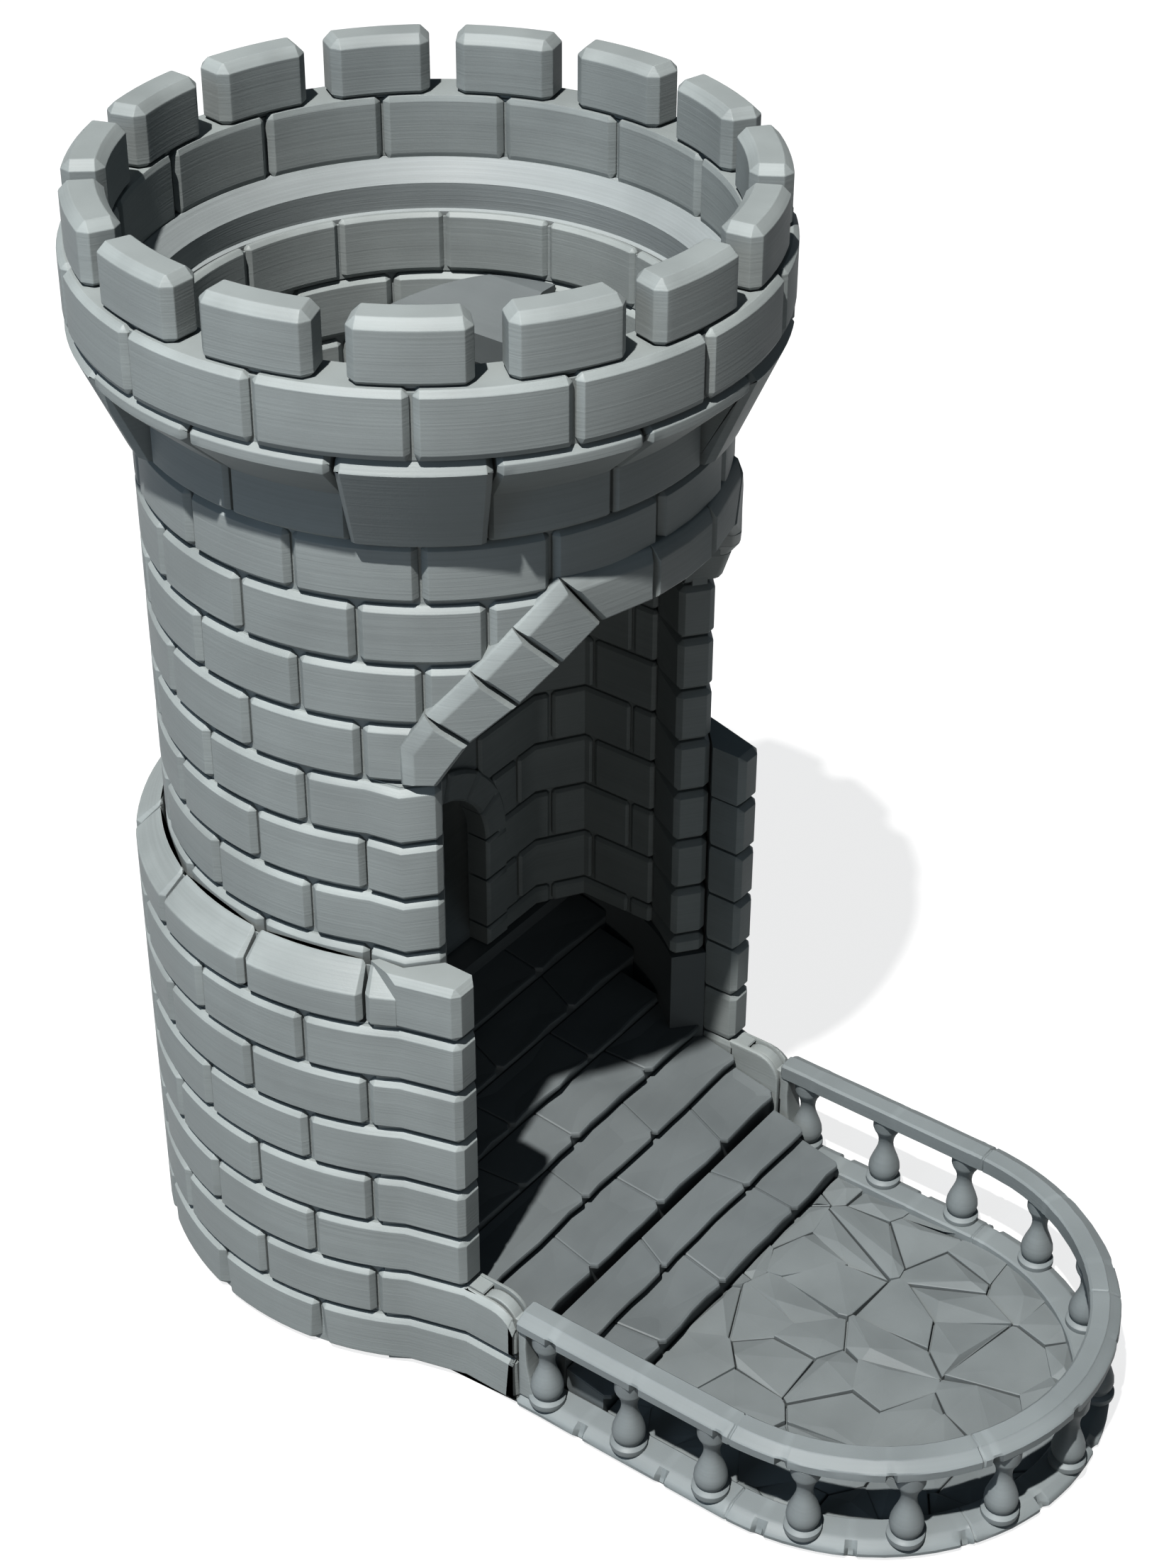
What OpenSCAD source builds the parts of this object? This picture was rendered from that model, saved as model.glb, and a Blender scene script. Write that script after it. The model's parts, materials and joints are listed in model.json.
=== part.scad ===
// Castle dice tower in four lift-apart prints: a base with its bailey wall, a
// hinged tray, the tower itself and a crown that drops on top of it.
// Millimetres, +Z up. The tower's axis is the Z axis, the resting plane is
// z = 0 and the open front with its tray looks along -Y.

/* [Masonry] */
// Height of one course of stones
course = 10; // [9.5:0.25:10.5]
// Number of stones in one turn of the wall
stones = 15; // [15:1:15]
// Height of the groove between two courses
groove = 0.8; // [0.4:0.1:1.2]
// Depth of the groove between two courses
groove_depth = 1; // [0.6:0.1:1.2]

/* [Tower] */
// Outer radius of the tower wall
tower_r = 44.5; // [44:0.1:44.5]
// Inner radius of the tower wall
tower_bore_r = 39.5; // [39:0.1:40]
// Gap between the tower and the bailey wall around it
lift_gap = 0.4; // [0.4:0.1:0.6]
// Outer radius of the raised stones around the opening
surround_r = 46; // [45.5:0.1:46.5]

/* [Base] */
// Outer radius of the bailey wall
bailey_r = 49.5; // [49:0.1:50.5]
// Half the clear width between the two jambs
hall_half = 35.2; // [34.8:0.1:35.4]
// Half the width over the two jambs
jamb_half = 40.2; // [40:0.1:40.6]
// Radius of the inner face of the ledge that carries the tower
ledge_r = 38.8; // [38:0.1:39]

/* [Stairs] */
// Depth of one tread
tread = 7.5; // [7.5:0.1:7.5]
// Height of one riser
riser = 4; // [3.8:0.1:4]

/* [Tray] */
// Distance from the tower's axis to the centre of the tray's round end
tray_round_y = 83.7; // [80:0.1:88]
// Thickness of the tray's floor
tray_floor_t = 1.5; // [1.2:0.1:2]
// Height of the top of the tray's low rim
rim_top = 3; // [2.6:0.1:3.4]
// Height of the underside of the hand rail
rail_bottom = 17; // [16.8:0.1:17.4]
// Height of the top of the hand rail
rail_top = 20.2; // [19.8:0.1:20.2]

/* [Crown] */
// Radius of the crown's bore, over the tower's spigot
crown_bore_r = 41.7; // [41.6:0.05:41.9]
// Outer radius of the parapet ring
crown_r = 52.5; // [52:0.1:53]
// Width of one merlon, in degrees
merlon_angle = 19; // [17:0.5:20]

/* [Hidden] */

$fn = 128;
eps = 0.01;
far = 80;                                  // longer than any cut has to be

// Levels, from the resting plane up
deck_z = 37.5;                             // ledge, doorway sill and tower foot
bailey_top = 7 * course;
coping_top = 8 * course;
tower_top = deck_z + 11.4 * course;        // shoulder that the crown sits on
spigot_top = tower_top + course;
collar_top = tower_top + 16.9;
parapet_top = collar_top + 10.3;
merlon_top = parapet_top + 9.5;

// Front faces, measured from the tower's axis
jamb_y = -34.2;
cheek_y = -43.8;
tray_y = -44.2;
top_riser_y = 2;                           // last riser, at the deck

// Hinge of the tray, inside the two cheeks
pivot = [-39.2, 15.5];                     // y and z of the axis
knuckle_r = 4.6;                           // rounding of the cheek around it
ear_r = knuckle_r - 0.3;
ear_x = 36.3;                              // inner face of the ear
ear_t = 2.1;
slot_play = 0.3;                           // beside the ear in its slot
pin_r = 1.5;
pin_play = 0.06;                           // radial, in the cheek's sockets
pin_x = 35.6;
pin_len = 3.9;
arm_half = 5;                              // length of the arm, pivot to post

// Tray
tray_half = jamb_half;
tray_inner = 34.3;                         // inner edge of the rim
post_t = 1.4;
baluster_x = 37.8;
baluster_rows = [-48.7, -64.6, -80.1];     // y of the straight-side balusters
baluster_step = 23.8;                      // degrees, on the round end
baluster_first = 18.6;                     // degrees, from the end's diameter

// Opening in the tower's front, as x and z of one half
quoin_end = 65.6;                          // degrees from the front, at the wall
quoin_back_y = -tower_bore_r * cos(quoin_end);
gable_foot = 112;
gable_in = [[35.9, gable_foot], [16.2, 135.6]];
gable_out = [[38.8, gable_foot], [38.8, 118.6], [36.8, 124.1], [22, 144]];

// Porch inside the tower, and the doorway at its back
porch_half = 35.3;
porch_y = 2.8;                             // front face of the back wall
shaft_y = 6.8;                             // rear face of the back wall
door_half = 14;
door_spring = 60;
arch_r = 19.5;                             // outside of the stones round the door
ramp_t = 4;
ramp_front_z = tower_top - ramp_t;
ramp_back_z = 120;                         // underside, at the shaft
hopper_half = 26;                          // half the width of the drop opening

// Crown
first_merlon = -6;                         // degrees from the front
stone_angle = 360 / stones;

brick = [0.57, 0.6, 0.6];
brick_dark = [0.5, 0.53, 0.53];
brick_pale = [0.66, 0.69, 0.7];

// ---- Helpers -------------------------------------------------------------

// Sector between two angles in degrees, counted from the front towards +X,
// cut from a ring with the given radii
module ring_sector(r_in, r_out, from, to, height) {
    rotate_extrude(start = from - 90, angle = to - from)
        translate([r_in, 0])
            square([r_out - r_in, height]);
}

// Prism along X with the profile given in y and z
module along_x(x0, x1) {
    translate([x0, 0, 0])
        rotate([90, 0, 90])
            linear_extrude(x1 - x0)
                children();
}

// Prism along Y with the profile given in x and z
module along_y(y0, y1) {
    translate([0, y1, 0])
        rotate([90, 0, 0])
            linear_extrude(y1 - y0)
                children();
}

// Both mirror halves of a shape that is drawn on the +X side
module both_sides() {
    children();
    mirror([1, 0, 0]) children();
}

// Courses of full outline, parted by thin inset layers that read as grooves;
// the children are the inset outline and the full one
module coursed(z0, z1, first) {
    levels = [for (z = [first : course : z1 - groove]) z];
    edges = concat([z0 - groove / 2], levels, [z1 + groove / 2]);
    for (i = [0 : len(edges) - 2])
        translate([0, 0, edges[i] + groove / 2])
            linear_extrude(edges[i + 1] - edges[i] - groove)
                children(1);
    for (z = levels)
        translate([0, 0, z - groove / 2])
            linear_extrude(groove)
                children(0);
}

// ---- Base ----------------------------------------------------------------

// Room that the tower needs inside the bailey wall, with its raised quoins
module tower_room() {
    circle(r = tower_r + lift_gap);
    both_sides()
        polygon([[0, -far], [hall_half, -far], [hall_half, -28.1], [39.9, -23.9],
            [41.1, -18], [0, -18]]);
}

// Plan of the bailey wall: a ring open at the front, with straight jambs
module bailey_plan(inset) {
    difference() {
        intersection() {
            union() {
                circle(r = bailey_r - inset);
                both_sides()
                    polygon([[0, 0], [42.8 - inset, -24.6], [jamb_half - inset, -34.5],
                        [jamb_half - inset, -far], [0, -far]]);
            }
            translate([-far, jamb_y + inset])
                square([2 * far, 2 * far]);
        }
        tower_room();
    }
}

module bailey_wall() {
    color(brick)
        coursed(0, bailey_top, course) {
            bailey_plan(groove_depth);
            bailey_plan(0);
        }
}

module bailey_coping() {
    lip = 6.1;
    color(brick_pale)
        translate([0, 0, bailey_top]) {
            linear_extrude(lip) bailey_plan(0);
            translate([0, 0, lip])
                linear_extrude((coping_top - bailey_top - lip) / 2)
                    bailey_plan(1.3);
            translate([0, 0, (coping_top - bailey_top + lip) / 2])
                linear_extrude((coping_top - bailey_top - lip) / 2)
                    bailey_plan(3);
        }
}

// Ledge that the tower stands on, open between the jambs
module ledge_ring() {
    color(brick_dark)
        ring_sector(ledge_r, tower_r + lift_gap, 51, 309, deck_z);
}

function base_step_z(i) = deck_z - (i + 1) * riser;
function base_step_y(i) = top_riser_y - i * tread;

module base_stairs() {
    base_steps = 6;
    color(brick_dark)
        difference() {
            intersection() {
                linear_extrude(deck_z)
                    union() {
                        circle(r = ledge_r);
                        translate([-hall_half, cheek_y])
                            square([2 * hall_half, 20]);
                    }
                for (i = [0 : base_steps - 1])
                    along_x(-far, far)
                        translate([i == base_steps - 1 ? cheek_y : base_step_y(i + 1), 0])
                            square([base_step_y(i)
                                - (i == base_steps - 1 ? cheek_y : base_step_y(i + 1)),
                                base_step_z(i)]);
            }
            translate([0, 0, -1])
                ring_sector(ledge_r, far, 51, 309, deck_z + 2);
        }
}

module base_deck() {
    color(brick_dark)
        intersection() {
            cylinder(r = ledge_r, h = deck_z);
            translate([-far, top_riser_y, 0])
                cube([2 * far, far, deck_z]);
        }
}

module cheek_profile() {
    translate([cheek_y, 0]) square([jamb_y - cheek_y, pivot[1]]);
    translate([pivot[0], 0]) square([jamb_y - pivot[0], pivot[1] + knuckle_r]);
    translate(pivot) circle(r = knuckle_r);
}

// Room for the tray's arm, from level with the floor to folded upright
module arm_sweep() {
    translate(pivot) circle(r = knuckle_r);
    translate([cheek_y - 1, pivot[1] - knuckle_r])
        square([pivot[0] - cheek_y + 1, far]);
    translate([cheek_y - 1, pivot[1]])
        square([pivot[0] - cheek_y + 2.8, far]);
}

// Low front wall beside the lowest stairs, slotted for the hinge
module cheek() {
    color(brick)
        difference() {
            along_x(hall_half, jamb_half) cheek_profile();
            along_x(ear_x - slot_play, ear_x + ear_t + slot_play) arm_sweep();
            translate([pin_x - 0.1, pivot[0], pivot[1]])
                rotate([0, 90, 0])
                    cylinder(r = pin_r + pin_play, h = pin_len + 0.2);
        }
}

module cheek_right() {
    cheek();
}

module cheek_left() {
    mirror([1, 0, 0]) cheek();
}

// ---- Tray ----------------------------------------------------------------

// Plan of the tray: straight sides and a round end
module tray_plan(half) {
    translate([-half, -tray_round_y])
        square([2 * half, tray_round_y + tray_y]);
    translate([0, -tray_round_y])
        intersection() {
            circle(r = half);
            translate([-half, -half]) square([2 * half, half]);
        }
}

module tray_band(z0, z1, half_in) {
    translate([0, 0, z0])
        linear_extrude(z1 - z0)
            difference() {
                tray_plan(tray_half);
                tray_plan(half_in);
                translate([-half_in, tray_y - 1]) square([2 * half_in, 2]);
            }
}

module tray_floor() {
    foot = 0.8;
    color(brick_dark) {
        linear_extrude(foot) tray_plan(tray_half - 1.2);
        translate([0, 0, foot])
            linear_extrude(tray_floor_t - foot) tray_plan(tray_half);
    }
}

module tray_rim() {
    color(brick) tray_band(tray_floor_t, rim_top, tray_inner);
}

module tray_rail() {
    color(brick_pale) tray_band(rail_bottom, rail_top, hall_half);
}

// The stair run ends in two treads on the tray
module tray_stairs() {
    upper_y = base_step_y(7);
    lower_y = base_step_y(8);
    color(brick_dark)
        along_x(-tray_inner, tray_inner)
            translate([0, tray_floor_t]) {
                translate([upper_y, 0])
                    square([tray_y - upper_y, base_step_z(6) - tray_floor_t]);
                translate([lower_y, 0])
                    square([upper_y - lower_y + eps, base_step_z(7) - tray_floor_t]);
            }
}

module baluster() {
    h = rail_bottom - rim_top;
    rotate_extrude()
        polygon([[0, 0], [3, 0], [3, 1], [2.5, 1.5], [2.9, 2.6], [2.8, 4], [2.1, 6.2],
            [1.3, 8.4], [1.15, 10], [1.4, 11.2], [2.4, h - 0.8], [2.4, h], [0, h]]);
}

module balusters() {
    color(brick)
        translate([0, 0, rim_top]) {
            both_sides()
                for (y = baluster_rows)
                    translate([baluster_x, y, 0]) baluster();
            translate([0, -tray_round_y, 0])
                for (i = [0 : 6])
                    rotate([0, 0, -baluster_first - i * baluster_step])
                        translate([baluster_x, 0, 0]) baluster();
        }
}

// Post under the rail's end, with the flat ear that turns inside the cheek
module hinge_arm() {
    color(brick)
        difference() {
            union() {
                along_x(ear_x, ear_x + ear_t) {
                    translate(pivot) circle(r = ear_r);
                    translate([tray_y - post_t, pivot[1] - ear_r])
                        square([arm_half + post_t, rail_bottom - pivot[1] + ear_r]);
                }
                along_x(hall_half + 0.2, jamb_half - 0.8)
                    translate([tray_y - post_t, rim_top])
                        square([post_t, rail_bottom - rim_top]);
            }
            translate([0, pivot[0], pivot[1]])
                rotate([0, 90, 0])
                    cylinder(r = pin_r, h = far);
        }
}

module hinge_pin() {
    color(brick_pale)
        translate([pin_x, pivot[0], pivot[1]])
            rotate([0, 90, 0])
                cylinder(r = pin_r, h = pin_len);
}

module hinge_arm_right() {
    hinge_arm();
}

module hinge_arm_left() {
    mirror([1, 0, 0]) hinge_arm();
}

module hinge_pin_right() {
    hinge_pin();
}

module hinge_pin_left() {
    mirror([1, 0, 0]) hinge_pin();
}

// ---- Tower ---------------------------------------------------------------

// Prism through the front with the gable's shape, from the points of one half
module gable_prism(half_outline) {
    mirrored = [for (i = [len(half_outline) - 1 : -1 : 0])
        [-half_outline[i][0], half_outline[i][1]]];
    along_y(-far, -5) polygon(concat(half_outline, mirrored));
}

// Wall profile with its course grooves, for turning about the axis
module wall_profile(r_in, r_out, z0, z1) {
    levels = [for (z = [z1 - course : -course : z0 + 1]) z];
    notches = [for (z = levels)
        each [[r_out, z + groove], [r_out - groove_depth, z], [r_out, z - groove]]];
    polygon(concat([[r_in, z1], [r_out, z1]], notches, [[r_out, z0], [r_in, z0]]));
}

module tower_wall() {
    color(brick)
        difference() {
            rotate_extrude() wall_profile(tower_bore_r, tower_r, deck_z, tower_top);
            translate([0, 0, deck_z - 1])
                ring_sector(tower_bore_r - 2, far, -quoin_end, quoin_end,
                    gable_foot - deck_z + 1);
            gable_prism(gable_out);
        }
}

// Short sleeve that the crown drops over
module tower_spigot() {
    color(brick)
        translate([0, 0, tower_top])
            difference() {
                cylinder(r = 41.3, h = spigot_top - tower_top);
                translate([0, 0, -1])
                    cylinder(r = tower_bore_r, h = spigot_top - tower_top + 2);
            }
}

// Raised corner stones beside the opening, up to the gable
module quoin_plan(inset) {
    polygon([[30.2, -24.3], [34.8, -27.9 + inset], [39.4 - inset, -23.8],
        [tower_r * sin(quoin_end), -tower_r * cos(quoin_end)],
        [tower_bore_r * sin(quoin_end), -tower_bore_r * cos(quoin_end)]]);
}

module quoins() {
    color(brick)
        coursed(deck_z, gable_foot, tower_top - 11 * course) {
            quoin_plan(0.7);
            quoin_plan(0);
        }
}

module quoins_right() {
    quoins();
}

module quoins_left() {
    mirror([1, 0, 0]) quoins();
}

// Shallow groove across the surround at a point given in x and z, turned
// about Y by its angle
module surround_joint(x, z, angle) {
    difference() {
        translate([x, -50, z])
            rotate([0, angle, 0])
                cube([groove, 40, 24], center = true);
        cylinder(r = surround_r - groove_depth, h = 2 * far);
    }
}

module surround() {
    difference() {
        intersection() {
            difference() {
                cylinder(r = surround_r, h = tower_top);
                translate([0, 0, -1]) cylinder(r = tower_bore_r, h = 2 * far);
            }
            gable_prism(gable_out);
        }
        gable_prism(gable_in);
        both_sides() {
            surround_joint(35, 121.6, 52);
            surround_joint(30.2, 127.8, 52);
            surround_joint(25, 133.9, 52);
        }
    }
}

lintel_end = 19;                           // x of the joint beside the lintel

module gable_right() {
    color(brick_pale)
        intersection() {
            surround();
            translate([lintel_end, -far, 0]) cube([far, far, far * 2]);
        }
}

module gable_left() {
    mirror([1, 0, 0]) gable_right();
}

// Three stones over the opening
module lintel() {
    color(brick_pale)
        difference() {
            intersection() {
                surround();
                translate([-lintel_end, -far, 0]) cube([2 * lintel_end, far, far * 2]);
            }
            both_sides() surround_joint(7.2, 140, 0);
        }
}

// Everything under the sloping porch ceiling
module under_ramp() {
    along_x(-far, far)
        polygon([[-tower_bore_r, 0], [-tower_bore_r, ramp_front_z], [shaft_y, ramp_back_z],
            [shaft_y, 0]]);
}

module porch_wall() {
    color(brick_dark)
        intersection() {
            translate([0, 0, deck_z])
                linear_extrude(tower_top - deck_z)
                    difference() {
                        intersection() {
                            circle(r = tower_bore_r);
                            translate([28, quoin_back_y]) square([far, shaft_y - quoin_back_y]);
                        }
                        polygon([[0, -far], [porch_half, -far], [porch_half, -2],
                            [28, porch_y], [0, porch_y]]);
                    }
            under_ramp();
        }
}

module porch_wall_right() {
    porch_wall();
}

module porch_wall_left() {
    mirror([1, 0, 0]) porch_wall();
}

module door_opening(half) {
    translate([-half, 0]) square([2 * half, door_spring]);
    translate([0, door_spring]) circle(r = half);
}

module porch_back_wall() {
    color(brick_dark)
        intersection() {
            difference() {
                translate([-28, porch_y, deck_z])
                    cube([56, shaft_y - porch_y, tower_top - deck_z]);
                along_y(porch_y - 1, shaft_y + 1) door_opening(arch_r);
            }
            under_ramp();
        }
}

module door_arch() {
    color(brick)
        along_y(porch_y - 0.4, shaft_y)
            intersection() {
                translate([0, door_spring])
                    difference() {
                        circle(r = arch_r);
                        circle(r = door_half);
                    }
                translate([-far, door_spring]) square([2 * far, far]);
            }
}

module door_jambs() {
    color(brick)
        both_sides()
            translate([door_half, porch_y - 0.4, deck_z])
                cube([arch_r - door_half, shaft_y - porch_y + 0.4, door_spring - deck_z]);
}

// Porch ceiling that throws the dice to the back shaft
module top_ramp() {
    color(brick_pale)
        intersection() {
            cylinder(r = tower_bore_r, h = tower_top);
            along_x(-far, far)
                polygon([[-tower_bore_r, ramp_front_z], [-tower_bore_r, tower_top],
                    [shaft_y, ramp_back_z + ramp_t], [shaft_y, ramp_back_z]]);
        }
}

// Sloping shoulder beside the drop opening
module hopper_ledge() {
    color(brick_pale)
        difference() {
            intersection() {
                translate([0, 0, tower_top - course])
                    cylinder(r = tower_bore_r, h = course);
                translate([hopper_half, shaft_y, 0]) cube([far, far, 2 * far]);
            }
            along_y(0, far)
                polygon([[hopper_half - 1, tower_top - 5.6], [35.5, tower_top],
                    [35.5, tower_top + 1], [hopper_half - 1, tower_top + 1]]);
        }
}

module hopper_ledge_right() {
    hopper_ledge();
}

module hopper_ledge_left() {
    mirror([1, 0, 0]) hopper_ledge();
}

// Ramp at the foot of the shaft, down to the doorway
module lower_ramp() {
    color(brick_pale)
        intersection() {
            translate([0, 0, deck_z]) cylinder(r = tower_bore_r, h = tower_top - deck_z);
            along_x(-far, far)
                polygon([[shaft_y, deck_z], [shaft_y, deck_z + 1.5], [tower_bore_r, 76],
                    [tower_bore_r, 72], [shaft_y + 2.5, deck_z]]);
        }
}

// ---- Crown ---------------------------------------------------------------

band_r = 44.8;                             // lower band of the collar
band_top = tower_top + 6.5;
cone_foot = [47.5, tower_top + 8.5];
cone_head = [52, collar_top];
lining = [[43.6, spigot_top + 0.2], [44.9, collar_top]];   // back of the funnel

module crown_collar() {
    color(brick)
        rotate_extrude()
            polygon([[crown_bore_r, tower_top], [band_r, tower_top], [band_r, band_top],
                cone_foot, cone_head, lining[1], lining[0],
                [crown_bore_r, spigot_top + 0.2]]);
}

// Five corbel stones that stand proud of the collar
module keystones() {
    color(brick)
        for (i = [0 : 4])
            rotate([0, 0, -54 + 72 * i - stone_angle / 2 - 90])
                rotate_extrude(angle = stone_angle)
                    polygon([[band_r, tower_top], [band_r + 0.8, tower_top], cone_head,
                        cone_foot, [band_r, band_top]]);
}

// Smooth lining that guides the dice into the tower
module crown_funnel() {
    color(brick_pale)
        rotate_extrude()
            polygon([[crown_bore_r + 0.1, spigot_top + 0.2], lining[0], lining[1],
                [44.5, collar_top], [crown_bore_r + 0.1, spigot_top + 4]]);
}

module parapet_ring() {
    chamfer = 0.8;
    color(brick)
        rotate_extrude()
            polygon([[44.9, collar_top], [crown_r - chamfer, collar_top],
                [crown_r, collar_top + chamfer], [crown_r, parapet_top - chamfer],
                [crown_r - chamfer, parapet_top], [44.7, parapet_top]]);
}

module merlons() {
    r_in = 45;
    r_out = 51.4;
    chamfer = 1.3;
    color(brick_pale)
        for (i = [0 : stones - 1])
            rotate([0, 0, first_merlon + i * stone_angle - merlon_angle / 2 - 90])
                rotate_extrude(angle = merlon_angle)
                    polygon([[r_in, parapet_top], [r_out, parapet_top],
                        [r_out, merlon_top - chamfer], [r_out - chamfer, merlon_top],
                        [r_in + chamfer, merlon_top], [r_in, merlon_top - chamfer]]);
}

bailey_wall();
bailey_coping();
ledge_ring();
base_stairs();
base_deck();
cheek_left();
cheek_right();
tray_floor();
tray_rim();
tray_stairs();
tray_rail();
balusters();
hinge_arm_left();
hinge_arm_right();
hinge_pin_left();
hinge_pin_right();
tower_wall();
tower_spigot();
quoins_left();
quoins_right();
gable_left();
gable_right();
lintel();
porch_wall_left();
porch_wall_right();
porch_back_wall();
door_arch();
door_jambs();
top_ramp();
hopper_ledge_left();
hopper_ledge_right();
lower_ramp();
crown_collar();
keystones();
crown_funnel();
parapet_ring();
merlons();
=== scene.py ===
"""Castle dice tower, printed in grey plastic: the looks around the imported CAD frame.

Shapes are worked out in millimetres, in the frame's own axes (tower axis on Z, tray towards -Y),
and turned into metres when a mesh is made. Angles round the tower count from the front (-Y)
towards +X, in degrees.
"""
import json
import math
import random

import bmesh
import bpy
from mathutils import Matrix, Vector


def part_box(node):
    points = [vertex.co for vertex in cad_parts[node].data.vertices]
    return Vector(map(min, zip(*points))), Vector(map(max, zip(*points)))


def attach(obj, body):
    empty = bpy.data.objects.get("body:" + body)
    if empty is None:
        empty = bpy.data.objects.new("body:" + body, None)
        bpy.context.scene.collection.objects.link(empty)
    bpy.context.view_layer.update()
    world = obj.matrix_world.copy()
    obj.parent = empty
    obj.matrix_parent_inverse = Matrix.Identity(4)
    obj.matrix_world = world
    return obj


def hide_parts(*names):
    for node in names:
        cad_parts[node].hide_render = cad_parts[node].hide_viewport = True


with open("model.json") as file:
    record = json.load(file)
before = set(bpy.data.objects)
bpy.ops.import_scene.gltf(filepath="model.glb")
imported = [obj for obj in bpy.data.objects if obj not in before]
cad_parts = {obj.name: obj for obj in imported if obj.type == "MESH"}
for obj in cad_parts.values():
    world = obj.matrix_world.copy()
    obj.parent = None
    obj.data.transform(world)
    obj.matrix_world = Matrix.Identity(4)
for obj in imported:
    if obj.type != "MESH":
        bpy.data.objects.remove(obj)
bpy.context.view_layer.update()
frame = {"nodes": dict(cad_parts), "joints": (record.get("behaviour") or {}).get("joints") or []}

MM = 0.001

# ---- sizes read from the frame


def low(node):
    """Lowest corner of a CAD node, in millimetres."""
    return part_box(node)[0] / MM


def high(node):
    """Highest corner of a CAD node, in millimetres."""
    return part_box(node)[1] / MM


COURSE = 10.0
STONES = 15
STONE_ANGLE = 360 / STONES
GAP = 0.45  # width of the open joint between two stones
CHAMFER = 1.0
CORE_BACK = 1.2  # how far the core stays inside a stone's back
CORE_FRONT = 1.3  # and behind its face
SIDES = ((1, "right"), (-1, "left"))

TOWER_R = high("tower_wall").x
TOWER_BORE = 39.5
DECK_Z = low("tower_wall").z
TOWER_TOP = high("tower_wall").z
SPIGOT_TOP = high("tower_spigot").z
SPIGOT_R = 41.3
SURROUND_R = -low("lintel").y
GABLE_FOOT = low("gable_right").z
GABLE_TOP = high("lintel").z

BAILEY_R = high("bailey_wall").x
BAILEY_IN = 44.9
BAILEY_TOP = high("bailey_wall").z
COPING_TOP = high("bailey_coping").z
JAMB_Y = low("bailey_wall").y
HALL = low("cheek_right").x
JAMB = high("cheek_right").x
CHEEK_Y = low("cheek_right").y
CHEEK_TOP = high("cheek_right").z
LEDGE_R = 38.8
SLOT_IN = 36.0  # inner face of the slot in a cheek
SLOT_OUT = 38.7
OPENING = 62.0  # angle that the wall stops at, on either side
JAMB_ANGLE = 60.1  # angle at which the round wall turns into the jamb
HALL_BACK = [(39.9, -23.9), (HALL, -28.1)]  # back corners of the jamb, in plan

COLLAR_TOP = high("crown_collar").z
PARAPET_TOP = high("parapet_ring").z
MERLON_TOP = high("merlons").z
CROWN_R = high("parapet_ring").x
CROWN_IN = 44.7
CROWN_BORE = 41.7
BAND_R = 44.9  # foot of the collar under the crown

TRAY_HALF = high("tray_floor").x
TRAY_REAR = high("tray_floor").y
TRAY_FRONT = low("tray_floor").y
TRAY_ROUND = TRAY_FRONT + TRAY_HALF  # y of the round end's centre
FLOOR_T = high("tray_floor").z
TRAY_SIDE = TRAY_REAR - TRAY_ROUND  # length of a straight side
TRAY_TURN = math.pi * TRAY_HALF  # and of the round end
TRAY_LENGTH = 2 * TRAY_SIDE + TRAY_TURN
RIM_TOP = high("tray_rim").z
RAIL_LOW = low("tray_rail").z
RAIL_TOP = high("tray_rail").z
RIM_IN = high("tray_stairs").x
BALUSTER_X = 37.8

PIVOT = [j for j in frame["joints"] if j["name"] == "tray_fold"][0]["pos_m"]
PIVOT_Y = PIVOT[1] / MM
PIVOT_Z = PIVOT[2] / MM
KNUCKLE = CHEEK_TOP - PIVOT_Z

TREAD = 7.5
RISER = 4.0
TOP_RISER_Y = 2.0
TREAD_RISE = 1.5  # how much a tread climbs from its nosing to its back
NOSING = 1.0  # thickness of the slab that stands over a riser
SET_BACK = 1.0

# ---- mesh making

SOFT = [(1.0, 0.0), (0.84, 0.06), (0.06, 0.84), (0.0, 1.0)]  # a chamfer with softened edges
SHARP_ANGLE = math.radians(35)
EVEN = {"o": 1.0, "e": 1.0, "i": 1.0}  # outer, end and inner edges alike


def back_share(share):
    """Weights that chamfer a stone's back by a share of what its face has."""
    return {"o": 1.0, "e": 1.0, "i": share}


def edge_wear_and_highlight(share):
    """Wear and painted highlight across a softened chamfer, most where it bends."""
    return 0.3 + 0.7 * (0.05 < share < 0.95)


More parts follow.
